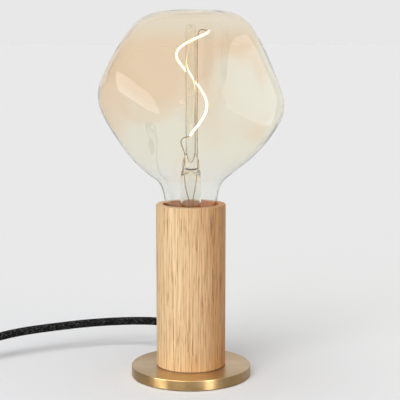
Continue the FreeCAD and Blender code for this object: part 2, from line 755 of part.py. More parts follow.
def make_bulb_stem():
    """Glass flare tube, pressed flat round the wires, and the rod that carries the filament."""
    wall = 1.0
    glass_in = NECK[0][0] - GLASS_WALL
    foot = GLASS_FOOT_Z
    low = PINCH_LOW - PINCH_BEND
    flare = turned([(glass_in - SEAT_GAP, foot), (glass_in - SEAT_GAP, foot + 0.8),
                    (STEM_TUBE_R + 0.4, foot + 6), (STEM_TUBE_R, foot + 10), (STEM_TUBE_R, low),
                    (STEM_TUBE_R - wall, low), (STEM_TUBE_R - wall, foot + 10),
                    (STEM_TUBE_R - 0.6, foot + 5.6), (glass_in - 1.3, foot)])
    ring_wire = circle_at(V(0, 0, low), V(0, 0, 1), STEM_TUBE_R)
    press = Part.makeLoft([ring_wire, oval(PINCH_LOW, 6.6, 3.2)], True, True)
    press = press.fuse(Part.Face(oval(PINCH_LOW, 6.6, 3.2)).extrude(V(0, 0, PINCH_HIGH - PINCH_LOW)))
    top_ring = circle_at(V(0, 0, PINCH_HIGH + 4), V(0, 0, 1), STEM_ROD_R)
    press = press.fuse(Part.makeLoft([oval(PINCH_HIGH, 6.6, 3.2), top_ring], True, True))
    post = upright(STEM_ROD_R, PINCH_HIGH + 4, STEM_TOP_Z)
    post = rounded(post, 2.0, lambda e: is_circle(e, STEM_ROD_R) and e.Vertexes[0].Z > PINCH_HIGH + 5)
    stem = flare.fuse(press).fuse(post)
    for wire in foot_wires() + hook_wires():
        stem = stem.cut(wire)
    return stem


# Wires in the bulb, with heights above the contact.
LEFT_FOOT = [(-1.6, 0, 18.2), (-1.6, 0, 45), (-3.7, 0, 53), (-5.2, 0, 63), (-5.2, 0, 71)]
RIGHT_FOOT = [(1.6, 0, 18.2), (1.6, 0, 45), (3.2, 0, 54), (4.6, 0, 63), (4.6, 0, 71)]
LEFT_HOOK = [(-4.2, 0, 71), (-4.2, 0, 80), (-7.9, -1.5, 90), (-6.0, -5.2, 93.4),
             (-1.2, -6.6, 94.6)]
RIGHT_HOOK = [(4.9, 0, 71), (4.9, 0, 106), (4.9, 0, 168), (6.5, 0, 175.5), (13.0, -1.5, 174.4)]


def bulb_wire(route):
    return routed_tube([(x, y, CONTACT_Z + h) for x, y, h in route], WIRE_R, 0.4)


def foot_wires():
    return [bulb_wire(route) for route in (LEFT_FOOT, RIGHT_FOOT)]


def hook_wires():
    return [bulb_wire(route) for route in (LEFT_HOOK, RIGHT_HOOK)]


def make_lead_wires():
    return Part.makeCompound(foot_wires())


def make_filament_hooks():
    filament = make_led_filament()
    return Part.makeCompound([wire.cut(filament) for wire in hook_wires()])


# The filament at each quarter turn: radius, and height above the contact.
LED_QUARTERS = [(14.0, 174.0), (11.5, 166.5), (10.8, 155.5), (10.5, 139.5), (12.4, 117.0),
                (6.6, 95.5)]


def led_place(at):
    """Centre line of the spiral filament: a quarter turn for each step, going down."""
    k = min(len(LED_QUARTERS) - 2, max(0, int(at)))
    share = at - k
    points = [LED_QUARTERS[min(len(LED_QUARTERS) - 1, max(0, k + j))] for j in (-1, 0, 1, 2)]
    weights = [(-share + 2 * share ** 2 - share ** 3) / 2,
               (2 - 5 * share ** 2 + 3 * share ** 3) / 2,
               (share + 4 * share ** 2 - 3 * share ** 3) / 2,
               (-share ** 2 + share ** 3) / 2]
    r = sum(w * p[0] for w, p in zip(weights, points))
    z = sum(w * p[1] for w, p in zip(weights, points))
    angle = -math.pi / 2 * at
    return V(r * math.cos(angle), r * math.sin(angle), CONTACT_Z + z)


def make_led_filament():
    half_steps = 2 * (len(LED_QUARTERS) - 1)
    tube, _ = wound_tube(lambda at: led_place(at / 2), half_steps, LED_R)
    return tube


BOARD_Y = 1.0
BOARD_T = 1.2
BOARD_Z = CONTACT_Z + 9


def make_driver_board():
    return block(V(-8, BOARD_Y, BOARD_Z), V(8, BOARD_Y + BOARD_T, BOARD_Z + 9))


def make_driver_parts():
    """Smoothing capacitor, rectifier and fuse on the board."""
    low, back = BOARD_Z, BOARD_Y + BOARD_T
    capacitor = upright(2.5, low + 0.3, low + 7.3, -3.5, BOARD_Y - 2.5)
    chip = block(V(2, BOARD_Y - 1.6, low + 1), V(6.5, BOARD_Y, low + 5))
    fuse = block(V(1, back, low + 1), V(5, back + 1.8, low + 7))
    return Part.makeCompound([capacitor, chip, fuse])


# ---- cord, switch, coil and plug ------------------------------------------------------------------------
def in_switch(shape):
    """Move a shape built along +X from the switch's entry into its place on the cord."""
    shape = shape.copy()
    shape.rotate(V(0, 0, 0), V(0, 0, 1), math.degrees(math.atan2(SWITCH_WAY.y, SWITCH_WAY.x)))
    shape.translate(V(SWITCH_START.x, SWITCH_START.y, 0))
    return shape


SPLIT_Z = 8.2
SWITCH_WALL = 2.0
PIVOT_Z = SWITCH_H - 2.4
PIVOT_R = 1.4
WINDOW_GAP = 0.5
SWITCH_SCREW_X = 17.0     # from either end
SWITCH_SCREW_EDGE = 3.0   # from either side
SWITCH_SCREW_R = 1.5
SWITCH_CLAMP = 14.5       # solid ends that hold the cord


def switch_hull(low, high, inset=0.0):
    """Rounded oblong, a part of its height, narrower at the cord's ends."""
    half = SWITCH_W / 2 - inset
    tip = 7.5 - inset
    shoulder = 13.0
    start, end = inset, SWITCH_L - inset
    points = [V(start, -tip, low), V(start + shoulder, -half, low), V(end - shoulder, -half, low),
              V(end, -tip, low), V(end, tip, low), V(end - shoulder, half, low),
              V(start + shoulder, half, low), V(start, tip, low)]
    prism = Part.Face(Part.makePolygon(points + points[:1])).extrude(V(0, 0, high - low))
    sides = [e for e in prism.Edges if abs(e.Vertexes[0].Z - e.Vertexes[-1].Z) > 1]
    return prism.makeFillet(3.0, sides)


def cord_slot(radius):
    return rod(radius, V(-1, 0, SWITCH_AXIS_Z), V(SWITCH_L + 1, 0, SWITCH_AXIS_Z))


def switch_screw_places():
    y = SWITCH_W / 2 - SWITCH_SCREW_EDGE
    return [(SWITCH_SCREW_X, y), (SWITCH_L - SWITCH_SCREW_X, y)]


def switch_ends():
    wide, high = SWITCH_W, SWITCH_H + 10
    ends = block(V(-5, -wide, -5), V(SWITCH_CLAMP, wide, high))
    return ends.fuse(block(V(SWITCH_L - SWITCH_CLAMP, -wide, -5), V(SWITCH_L + 5, wide, high)))


def make_switch_base():
    base = switch_hull(0, SPLIT_Z)
    base = rounded(base, 1.2, lambda e: abs(e.Vertexes[0].Z) + abs(e.Vertexes[-1].Z) < 0.01)
    inner = switch_hull(SWITCH_WALL, SPLIT_Z + 1, SWITCH_WALL)
    base = base.cut(inner.cut(switch_ends())).cut(cord_slot(CORD_R))
    for x, y in switch_screw_places():
        base = base.cut(upright(SWITCH_SCREW_R, 3.0, SPLIT_Z + 1, x, y))
    return base


def make_switch_cover():
    cover = switch_hull(SPLIT_Z, SWITCH_H)
    cover = rounded(cover, 1.8, lambda e: abs(e.Vertexes[0].Z - SWITCH_H)
                    + abs(e.Vertexes[-1].Z - SWITCH_H) < 0.01)
    inner = switch_hull(SPLIT_Z - 1, SWITCH_H - SWITCH_WALL, SWITCH_WALL)
    cover = cover.cut(inner.cut(switch_ends())).cut(cord_slot(CORD_R))
    middle = SWITCH_L / 2
    along, across = ROCKER_L / 2 + WINDOW_GAP, ROCKER_W / 2 + WINDOW_GAP
    walls = block(V(middle - along - 1.5, -across - 1.8, SPLIT_Z + 3.4),
                  V(middle + along + 1.5, across + 1.8, SWITCH_H - 0.5))
    cover = cover.fuse(walls)
    cover = cover.cut(block(V(middle - along, -across, SPLIT_Z), V(middle + along, across, 30)))
    cover = cover.cut(rod(PIVOT_R + RUNNING_FIT, V(middle, -across - 1.2, PIVOT_Z),
                          V(middle, across + 1.2, PIVOT_Z)))
    for x, y in switch_screw_places():
        cover = cover.cut(upright(SWITCH_SCREW_R, SPLIT_Z - 1, SWITCH_H, x, y))
    return cover.removeSplitter()


def make_switch_rocker():
    """Two-faced rocker on two trunnions, stored pressed to the ON side."""
    middle, half = SWITCH_L / 2, ROCKER_L / 2
    low = PIVOT_Z - 2.2
    outline = [(-half, PIVOT_Z - 0.4), (-half + 1.6, low), (half - 1.6, low),
               (half, PIVOT_Z - 0.4), (half, SWITCH_H + 0.9), (0, SWITCH_H - 0.7),
               (-half, SWITCH_H + 0.9)]
    points = [V(middle + x, -ROCKER_W / 2, z) for x, z in outline]
    body = Part.Face(Part.makePolygon(points + points[:1])).extrude(V(0, ROCKER_W, 0))
    reach_out = ROCKER_W / 2 + WINDOW_GAP + 1.0
    body = body.fuse(rod(PIVOT_R, V(middle, -reach_out, PIVOT_Z), V(middle, reach_out, PIVOT_Z)))
    body.rotate(V(middle, 0, PIVOT_Z), V(0, 1, 0), ROCKER_TILT)
    return body


def make_switch_screws():
    screws = []
    for x, y in switch_screw_places():
        screws.append(upright(SWITCH_SCREW_R, 3.2, SWITCH_H - 1.2, x, y))
    return Part.makeCompound(screws)


def make_switch_contacts():
    """Brass blades under the rocker and the through terminal beside them."""
    middle = SWITCH_L / 2
    side = 1 + SWITCH_WALL - SWITCH_W / 2
    pieces = [block(V(middle - 8, -2.5, SWITCH_WALL), V(middle - 3, 2.5, SWITCH_WALL + 6)),
              block(V(middle + 3, -2.5, SWITCH_WALL), V(middle + 8, 2.5, SWITCH_WALL + 6)),
              block(V(middle - 6, side, SWITCH_WALL), V(middle + 6, side + 3.5, SWITCH_WALL + 5))]
    return Part.makeCompound(pieces)


SWITCH_END = SWITCH_START + SWITCH_WAY * SWITCH_L
COIL_ENTRY = SWITCH_END + SWITCH_WAY * TO_COIL
COIL_CENTRE = V(COIL_ENTRY.x - COIL_OUT_R * math.cos(math.radians(COIL_START)),
                COIL_ENTRY.y - COIL_OUT_R * math.sin(math.radians(COIL_START)), COIL_Z)


def coil_place(turn):
    """Centre line of the put-away coil, clockwise: in on the lower layer, out on the upper."""
    half = COIL_TURNS / 2
    r = COIL_OUT_R - COIL_PITCH * (half - abs(turn - half))
    r += soft_corner(turn - half)
    angle = math.radians(COIL_START) - 2 * math.pi * turn
    climb = smooth_step(turn, half - 0.25, half + 0.25) * COIL_PITCH
    return COIL_CENTRE + V(r * math.cos(angle), r * math.sin(angle), climb)


def soft_corner(from_middle):
    """Rounds the change from winding in to winding out over half a turn."""
    reach_out = 0.25
    if abs(from_middle) >= reach_out:
        return 0.0
    return COIL_PITCH * (reach_out - abs(from_middle)) ** 2 / (2 * reach_out)


def make_cord_coil():
    quarters = round(COIL_TURNS * 4)
    scale = COIL_TURNS / quarters
    tube, wire = wound_tube(lambda at: coil_place(at * scale), quarters, CORD_R,
                            CORD_D, CORD_D)
    print("coil: length %.1f, least gap %.2f, volume ratio %.4f"
          % (wire.Length, least_gap(wire), tube.Volume / (math.pi * CORD_R ** 2 * wire.Length)))
    return tube


def least_gap(wire):
    """Smallest distance between the tube's skin and itself, a half turn or more apart."""
    count = 1200
    points = wire.discretize(Number=count)
    apart = int(math.pi * COIL_OUT_R / (wire.Length / count))
    return min((points[i] - points[j]).Length for i in range(0, count, 2)
               for j in range(i + apart, count)) - CORD_D


def coil_end(at_start):
    """Where the coil's tube ends, past its straight end, and the direction there."""
    turn = 0.0 if at_start else COIL_TURNS
    small = 1e-4
    way = unit(coil_place(turn + small) - coil_place(turn - small))
    return coil_place(turn) + way * (-CORD_D if at_start else CORD_D), way


def make_coil_tie():
    """Woven strap round the bundle, at the coil's left."""
    inner_r = COIL_OUT_R - COIL_PITCH * COIL_TURNS / 2 - CORD_R - TIE_FIT
    outer_r = COIL_OUT_R + CORD_R + TIE_FIT
    low = COIL_Z - CORD_R - TIE_FIT
    high = COIL_Z + COIL_PITCH + CORD_R + TIE_FIT
    centre = COIL_CENTRE

    def band(grown):
        box = block(V(centre.x - outer_r - grown, centre.y - TIE_W / 2, low - grown),
                    V(centre.x - inner_r + grown, centre.y + TIE_W / 2, high + grown))
        edges = [e for e in box.Edges if abs(e.Vertexes[0].Y - e.Vertexes[-1].Y) > 1]
        return box.makeFillet(CORD_R * 0.7 + grown, edges)

    return band(TIE_T).cut(band(0.0))


def make_plug_body():
    """Flat two-pin plug with a tapered sleeve where the cord goes in."""
    s = PLUG_START
    sleeve = PLUG_SLEEVE
    body = block(V(s.x + sleeve, s.y - PLUG_W / 2, 0),
                 V(s.x + sleeve + PLUG_L, s.y + PLUG_W / 2, PLUG_T))
    shoulders = []
    for side in (-1, 1):
        shoulders.append(Part.Face(Part.makePolygon([
            V(s.x + sleeve - 1, s.y + side * 7.0, -1), V(s.x + sleeve + 17, s.y + side * 18, -1),
            V(s.x + sleeve - 1, s.y + side * 18, -1), V(s.x + sleeve - 1, s.y + side * 7.0, -1),
        ])).extrude(V(0, 0, PLUG_T + 2)))
    body = body.cut(shoulders[0]).cut(shoulders[1])
    body = rounded(body, 2.0, lambda e: e.Vertexes[0].X < s.x + sleeve + PLUG_L - 1
                   or e.Vertexes[-1].X < s.x + sleeve + PLUG_L - 1)
    cone = Part.makeCone(CORD_R + 1.2, 6.2, sleeve + 2, s, V(1, 0, 0))
    body = body.fuse(cone)
    for side in (-1, 1):
        start = V(s.x + sleeve + PLUG_L - 8, s.y + side * PIN_SPREAD / 2, s.z)
        body = body.cut(rod(PIN_D / 2, start, start + V(20, 0, 0)))
    return body.cut(rod(CORD_R, s - V(1, 0, 0), s + V(CORD_IN_PLUG, 0, 0)))


def make_plug_pins():
    s = PLUG_START
    face = s.x + PLUG_SLEEVE + PLUG_L
    pins = []
    for side in (-1, 1):
        y = s.y + side * PIN_SPREAD / 2
        pin = rod(PIN_D / 2, V(face - 8, y, s.z), V(face + PIN_L, y, s.z))
        pins.append(rounded(pin, 1.2, lambda e: is_circle(e, PIN_D / 2)
                            and e.Vertexes[0].X > face + 1))
    return Part.makeCompound(pins)


def make_cord_lead():
    return routed_tube(LEAD_ROUTE, CORD_R, name="cord_lead")


def make_cord_feed():
    start = SWITCH_END - SWITCH_WAY * CORD_IN_SWITCH
    end, way = coil_end(True)
    route = [start, start + SWITCH_WAY * FEED_RUN, end - way * FEED_RUN, end]
    return routed_tube([tuple(p) for p in route], CORD_R, name="cord_feed")


def make_cord_end():
    start, way = coil_end(False)
    route = [tuple(start), tuple(start + way * 18)] + END_ROUTE
    route.append(tuple(PLUG_START + V(CORD_IN_PLUG, 0, 0)))
    return routed_tube(route, CORD_R, name="cord_end")


MAKERS = {
    "foot_pad": make_foot_pad,
    "base_plate": make_base_plate,
    "base_screws": make_base_screws,
    "oak_tube": make_oak_tube,
    "threaded_tube": make_threaded_tube,
    "tube_nut": make_tube_nut,
    "tube_washer": make_tube_washer,
    "holder_cap": make_holder_cap,
    "holder_grub_screw": make_holder_grub_screw,
    "holder_skirt": make_holder_skirt,
    "holder_core": make_holder_core,
    "socket_shell": make_socket_shell,
    "centre_contact": make_centre_contact,
    "side_contact": make_side_contact,
    "terminal_blocks": make_terminal_blocks,
    "terminal_screws": make_terminal_screws,
    "live_wire": lambda: make_core_wire(-1),
    "neutral_wire": lambda: make_core_wire(1),
    "cord_tail": make_cord_tail,
    "cord_grip": make_cord_grip,
    "cord_grip_screw": make_cord_grip_screw,
    "bulb_glass": make_bulb_glass,
    "bulb_cap": make_bulb_cap,
    "bulb_insulator": make_bulb_insulator,
    "bulb_contact": make_bulb_contact,
    "bulb_stem": make_bulb_stem,
    "bulb_lead_wires": make_lead_wires,
    "filament_hooks": make_filament_hooks,
    "led_filament": make_led_filament,
    "driver_board": make_driver_board,
    "driver_parts": make_driver_parts,
    "cord_lead": make_cord_lead,
    "cord_feed": make_cord_feed,
    "cord_coil": make_cord_coil,
    "cord_end": make_cord_end,
    "coil_tie": make_coil_tie,
    "switch_base": lambda: in_switch(make_switch_base()),
    "switch_cover": lambda: in_switch(make_switch_cover()),
    "switch_rocker": lambda: in_switch(make_switch_rocker()),
    "switch_screws": lambda: in_switch(make_switch_screws()),
    "switch_contacts": lambda: in_switch(make_switch_contacts()),
    "plug_body": make_plug_body,
    "plug_pins": make_plug_pins,
}

for node, maker in MAKERS.items():
    save(node, maker())
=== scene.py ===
"""Looks of a bare bulb table lamp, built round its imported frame. Lengths are in metres."""
import logging
import math
from dataclasses import dataclass, field
from enum import Enum
from functools import cache
from typing import Callable, Sequence

import bpy
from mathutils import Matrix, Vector


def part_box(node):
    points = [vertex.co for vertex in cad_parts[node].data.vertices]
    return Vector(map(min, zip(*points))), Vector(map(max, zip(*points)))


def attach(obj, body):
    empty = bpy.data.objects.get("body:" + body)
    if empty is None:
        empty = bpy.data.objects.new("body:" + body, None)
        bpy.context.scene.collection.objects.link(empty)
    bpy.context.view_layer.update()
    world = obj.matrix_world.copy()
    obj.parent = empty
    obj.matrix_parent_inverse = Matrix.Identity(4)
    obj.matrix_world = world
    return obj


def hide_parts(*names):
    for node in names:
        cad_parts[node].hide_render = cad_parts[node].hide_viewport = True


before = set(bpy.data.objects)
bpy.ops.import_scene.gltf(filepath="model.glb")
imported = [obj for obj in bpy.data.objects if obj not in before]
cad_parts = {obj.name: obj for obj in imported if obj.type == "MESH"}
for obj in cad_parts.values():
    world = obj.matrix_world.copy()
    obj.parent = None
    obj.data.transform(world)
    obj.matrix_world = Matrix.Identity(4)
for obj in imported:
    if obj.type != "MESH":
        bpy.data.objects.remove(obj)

Pair = tuple[float, float]
Point = tuple[float, float, float]
Colour = tuple[float, float, float, float]
Socket = bpy.types.NodeSocket

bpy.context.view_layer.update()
LOG = logging.getLogger("lamp")
MM = 0.001
ROUND = 2 * math.pi  # a full turn
TUBE_FOOT, TUBE_RIM = (corner[2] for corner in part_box("oak_tube"))
GLASS_PIECES = ("glass_envelope", "glass_stem")
WHITE: Colour = (1.0, 1.0, 1.0, 1.0)
BLACK: Colour = (0.0, 0.0, 0.0, 1.0)
MOST_NOISE: Pair = (0.3, 0.7)  # between these lie most of a noise's values


def tone(red: int, green: int, blue: int) -> Colour:
    """A colour as a screen shows it, 0 to 255, made linear for a shader.

    Args:
        red, green, blue: The screen's values.

    Returns:
        Linear red, green, blue and an alpha of 1.
    """
    parts = [c / 255 for c in (red, green, blue)]
    line = [c / 12.92 if c <= 0.04045 else ((c + 0.055) / 1.055) ** 2.4 for c in parts]
    return (*line, 1.0)


# ---- node trees ---------------------------------------------------------------------


class Nodes:
    """Adds nodes to one tree and wires them."""

    def __init__(self, tree: bpy.types.NodeTree) -> None:
        """Start on a tree."""
        self.tree = tree

    def fill(self, node: bpy.types.Node, inputs: dict) -> None:
        """Link sockets in to a node's inputs, and set the plain values as they are.

        Args:
            node: The node.
            inputs: Input name or number to a value or a socket.
        """
        for key, value in inputs.items():
            if isinstance(value, bpy.types.NodeSocket):
                self.tree.links.new(value, node.inputs[key])
            else:
                node.inputs[key].default_value = value

    def add(self, kind: str, inputs: dict | None = None, **settings: object) -> bpy.types.Node:
        """Make one node.

        Args:
            kind: The node's type name.
            inputs: Input name or number to a value or a socket.
            settings: The node's own properties.

        Returns:
            The new node.
        """
        node = self.tree.nodes.new(kind)
        for key, value in settings.items():
            setattr(node, key, value)
        self.fill(node, inputs or {})
        return node

    def calc(self, operation: str, a: object, b: object = 0.0) -> Socket:
        """One sum on numbers."""
        return self.add("ShaderNodeMath", {0: a, 1: b}, operation=operation).outputs[0]

    def plus(self, a: object, b: object) -> Socket:
        """The first number and the second."""
        return self.calc("ADD", a, b)

    def minus(self, a: object, b: object) -> Socket:
        """The first number less the second."""
        return self.calc("SUBTRACT", a, b)

    def times(self, a: object, b: object) -> Socket:
        """The first number times the second."""
        return self.calc("MULTIPLY", a, b)

    def weigh(self, a: Socket, b: Socket, share: float) -> Socket:
        """Two numbers averaged, the first with the share that is given."""
        return self.plus(self.times(a, share), self.times(b, 1 - share))

    def ease(self, value: Socket, low: float, high: float, start: float = 0.0,
             end: float = 1.0) -> Socket:
        """A smooth change from start to end while value goes from low to high."""
        inputs = {"Value": value, "From Min": low, "From Max": high, "To Min": start, "To Max": end}
        return self.add("ShaderNodeMapRange", inputs, interpolation_type="SMOOTHSTEP").outputs["Result"]

    def vector(self, operation: str, a: object, b: object = (0, 0, 0)) -> bpy.types.Node:
        """One sum on vectors."""
        return self.add("ShaderNodeVectorMath", {0: a, 1: b}, operation=operation)

    def split(self, place: Socket) -> Sequence[Socket]:
        """A place's X, Y and Z."""
        return self.add("ShaderNodeSeparateXYZ", {0: place}).outputs

    def join(self, x: object = 0.0, y: object = 0.0, z: object = 0.0) -> Socket:
        """A place from its X, Y and Z."""
        return self.add("ShaderNodeCombineXYZ", {0: x, 1: y, 2: z}).outputs[0]

    def polar(self, out: Socket, angle: Socket, z: Socket) -> Socket:
        """A place from its distance out, its angle round the upright axis and its height."""
        x, y = (self.times(out, self.calc(part, angle)) for part in ("COSINE", "SINE"))
        return self.join(x, y, z)

    def from_axis(self, place: Socket) -> Socket:
        """How far a place is from the upright axis."""
        flat = self.vector("MULTIPLY", place, (1, 1, 0)).outputs[0]
        return self.vector("LENGTH", flat).outputs["Value"]

    def noise(self, place: Socket, scale: float, detail: float = 2.0, rough: float = 0.5) -> Socket:
        """Cloudy noise, about 0.5 on average."""
        inputs = {"Vector": place, "Scale": scale, "Detail": detail, "Roughness": rough}
        return self.add("ShaderNodeTexNoise", inputs).outputs["Fac"]

    def stretch(self, place: Socket, scale: Point, move: Point = (0, 0, 0)) -> Socket:
        """The same place with its axes stretched, then moved."""
        return self.add("ShaderNodeMapping", {"Vector": place, "Scale": scale, "Location": move}).outputs[0]

    def mix(self, share: object, a: object, b: object, blend: str = "MIX") -> Socket:
        """One colour into another."""
        inputs = {0: share, 6: a, 7: b}
        return self.add("ShaderNodeMix", inputs, data_type="RGBA", blend_type=blend).outputs[2]

    def bump(self, height: Socket, depth: float, strength: float = 1.0) -> Socket:
        """A normal from a height of 0 to 1 that stands depth metres deep."""
        inputs = {"Height": height, "Distance": depth, "Strength": strength}
        return self.add("ShaderNodeBump", inputs).outputs[0]

    def here(self) -> Socket:
        """The place on the piece, in its own coordinates."""
        return self.add("ShaderNodeTexCoord").outputs["Object"]

    def mirrored(self) -> Socket:
        """1 where a gloss mirrors the surroundings, 0 where they are seen or show through glass."""
        path = self.add("ShaderNodeLightPath").outputs
        return self.calc("MAXIMUM", self.minus(path["Is Glossy Ray"], path["Is Transmission Ray"]), 0.0)


# ---- finishes ------------------------------------------------------------------------


@dataclass(frozen=True)
class Finish:
    """A surface's look."""

    name: str

    @cache
    def material(self) -> bpy.types.Material:
        """The finish as a material, made once and shared.

        Returns:
            The material.
        """
        made = bpy.data.materials.new(self.name)
        made.use_nodes = True
        made.node_tree.nodes.clear()
        nodes = Nodes(made.node_tree)
        shader = nodes.add("ShaderNodeBsdfPrincipled")
        surface = self.paint(nodes, shader) or shader.outputs[0]
        nodes.add("ShaderNodeOutputMaterial", {"Surface": surface})
        return made

    def paint(self, nodes: Nodes, shader: bpy.types.Node) -> Socket | None:
        """Set the shader's colour, gloss and relief.

        Args:
            nodes: The material's tree.
            shader: Its main shader.

        Returns:
            A surface that takes the shader's place, or None.
        """
        raise NotImplementedError


@dataclass(frozen=True)
class Moulded(Finish):
    """Plastic, ceramic or board with a fine uneven skin."""

    dark: Colour
    light: Colour
    grain: float = 0.4 * MM
    clouds: float = 8 * MM
    gloss: Pair = (0.30, 0.42)
    relief: float = 0.02 * MM
    metallic: float = 0.0
    coat: float = 0.0
    specular: float = 0.5
    cloud_edge: Pair = (0.35, 0.65)

    def paint(self, nodes: Nodes, shader: bpy.types.Node) -> None:
        """Clouds in the colour, a fine grain in the gloss and the relief.

        Args:
            nodes: The material's tree.
            shader: Its main shader.
        """
        here = nodes.here()
        grain = nodes.noise(here, 1 / self.grain, detail=2, rough=0.6)
        clouds = nodes.noise(here, 1 / self.clouds, detail=3)
        both = nodes.weigh(clouds, grain, share=0.6)
        nodes.fill(shader, {
            "Base Color": nodes.mix(nodes.ease(both, *self.cloud_edge), self.dark, self.light),
            "Roughness": nodes.ease(both, *MOST_NOISE, *self.gloss),
            "Normal": nodes.bump(grain, self.relief),
            "Metallic": self.metallic,
            "Coat Weight": self.coat,
            "Specular IOR Level": self.specular})


@dataclass(frozen=True)
class PlainMetal(Moulded):
    """Plain or plated metal with a fine uneven skin."""

    relief: float = 0.006 * MM
    metallic: float = 1.0


@dataclass(frozen=True)
class Marks:
    """One family of marks in wood: noise that is drawn out along the grain."""

    colour: Colour
    scale: float
    upright: float
    edge: Pair
    share: float
    detail: float = 1.0
    rough: float = 0.4
    move: Point = (0.0, 0.0, 0.0)

    def draw(self, nodes: Nodes, place: Socket) -> Socket:
        """The marks as numbers about 0.5."""
        along = nodes.stretch(place, (1, 1, self.upright), self.move)
        return nodes.noise(along, self.scale, self.detail, self.rough)

    def stain(self, nodes: Nodes, marks: Socket, colour: object) -> Socket:
        """The wood's colour with the marks' colour laid over it."""
        return nodes.mix(nodes.ease(marks, *self.edge, 0.0, self.share), colour, self.colour)


OAK_LINE = 0.66 * MM


@dataclass(frozen=True)
class Oak(Finish):
    """Pale oak with straight, close upright grain and small pores, with painted shade in the bore, a
    painted shadow at the foot and painted shade on the right side.

    An edge is a stretch over which a change sets in: across the tube it is measured from the bore
    or the middle, and upright from the tube's rim or foot.
    """

    pale: Colour = tone(248, 218, 168)
    line: Marks = Marks(tone(217, 167, 110), scale=1 / OAK_LINE, upright=0.012, edge=(0.40, 0.60),
                        share=0.85, rough=0.35)
    thread: Marks = Marks(tone(250, 218, 172), scale=2.4 / OAK_LINE, upright=0.022, edge=(0.40, 0.66),
                          share=0.55, detail=2, rough=0.6)
    band: Marks = Marks(tone(218, 163, 108), scale=0.26 / OAK_LINE, upright=0.012, edge=(0.42, 0.64),
                        share=0.12)
    cloud: Marks = Marks(tone(222, 170, 116), scale=38, upright=0.3, edge=(0.40, 0.70),
                         share=0.2, detail=2, rough=0.5)
    pore: Marks = Marks(tone(150, 86, 40), scale=1.15 / OAK_LINE, upright=0.04, edge=(0.53, 0.63),
                        share=0.62, rough=0.5, move=(0.03, 0.01, 0.0))
    pores_off_line: float = 0.25
    sway_scale: float = 22
    sway_upright: float = 0.35
    sway: float = 4 * MM
    bore_r: float = 21.2 * MM
    # painted shade: the bore's wall is darkened to a browner colour
    bore_shade_edge: Pair = (0.4 * MM, 0.9 * MM)
    bore_shade: Colour = tone(252, 196, 162)
    rim_edge: Pair = (-0.4 * MM, -0.1 * MM)
    rim_inner: Pair = (0.6 * MM, 2.0 * MM)
    rim_grain: tuple[Colour, Colour] = (tone(238, 214, 176), tone(196, 150, 104))
    rim_threads: Pair = (0.42, 0.62)
    # painted shadow: a dark band on the lowest millimetre of the tube, where it stands on the plate
    foot_shadow_edge: Pair = (0.4 * MM, 1.0 * MM)
    foot_shadow: Colour = tone(84, 48, 26)
    foot_shadow_share: float = 0.8
    # painted shade: the tube is darkened to a browner colour towards its right side
    shaded_side_edge: Pair = (-4 * MM, 26 * MM)
    side_shade: Colour = tone(232, 206, 180)
    gloss: Pair = (0.48, 0.62)
    relief: float = 0.04 * MM
    line_relief: float = 0.5

    def paint(self, nodes: Nodes, shader: bpy.types.Node) -> None:
        """Grain of three widths and clouds, and pores that are closest in the darker lines.

        Args:
            nodes: The material's tree.
            shader: Its main shader.
        """
        here = nodes.here()
        sway = nodes.noise(nodes.stretch(here, (1, 1, self.sway_upright)), self.sway_scale,
                           detail=1, rough=0.4)
        swayed = nodes.vector("ADD", here, nodes.join(nodes.times(sway, self.sway))).outputs[0]
        lines = self.line.draw(nodes, swayed)
        threads = self.thread.draw(nodes, swayed)
        colour = self.line.stain(nodes, lines, self.pale)
        colour = self.thread.stain(nodes, threads, colour)
        colour = self.band.stain(nodes, self.band.draw(nodes, swayed), colour)
        colour = self.cloud.stain(nodes, self.cloud.draw(nodes, here), colour)
        pores = nodes.times(nodes.ease(self.pore.draw(nodes, swayed), *self.pore.edge),
                            nodes.ease(lines, *self.line.edge, self.pores_off_line, 1.0))
        colour = nodes.mix(nodes.times(pores, self.pore.share), colour, self.pore.colour)
        relief = nodes.minus(nodes.times(lines, self.line_relief), pores)
        nodes.fill(shader, {
            "Base Color": self.by_place(nodes, here, threads, colour),
            "Roughness": nodes.ease(threads, *MOST_NOISE, *self.gloss),
            "Normal": nodes.bump(relief, self.relief, strength=0.6),
            "Specular IOR Level": 0.4})

    def by_place(self, nodes: Nodes, here: Socket, threads: Socket, colour: Socket) -> Socket:
        """Painted shade in the bore, end grain on the rim, a painted shadow at the foot and painted shade
        on the right side.

        Args:
            nodes: The material's tree.
            here: The place on the tube.
            threads: The finest grain.
            colour: The wood's colour so far.

        Returns:
            The wood's colour.
        """
        x, _, z = nodes.split(here)
        past_bore = nodes.minus(nodes.from_axis(here), self.bore_r)
        # painted shade inside the bore
        stain = nodes.mix(nodes.ease(past_bore, *self.bore_shade_edge, 1.0, 0.0), WHITE, self.bore_shade)
        colour = nodes.mix(1.0, colour, stain, "MULTIPLY")
        rim = nodes.times(nodes.ease(nodes.minus(z, TUBE_RIM), *self.rim_edge),
                          nodes.ease(past_bore, *self.rim_inner))
        colour = nodes.mix(rim, colour, nodes.mix(nodes.ease(threads, *self.rim_threads), *self.rim_grain))
        # painted shadow at the foot of the tube
        foot_shadow_mask = nodes.ease(nodes.minus(z, TUBE_FOOT), *self.foot_shadow_edge, self.foot_shadow_share, 0.0)
        colour = nodes.mix(foot_shadow_mask, colour, self.foot_shadow)
        # painted shade on the right side
        side_shade_mix = nodes.mix(nodes.ease(x, *self.shaded_side_edge), WHITE, self.side_shade)
        return nodes.mix(1.0, colour, side_shade_mix, "MULTIPLY")


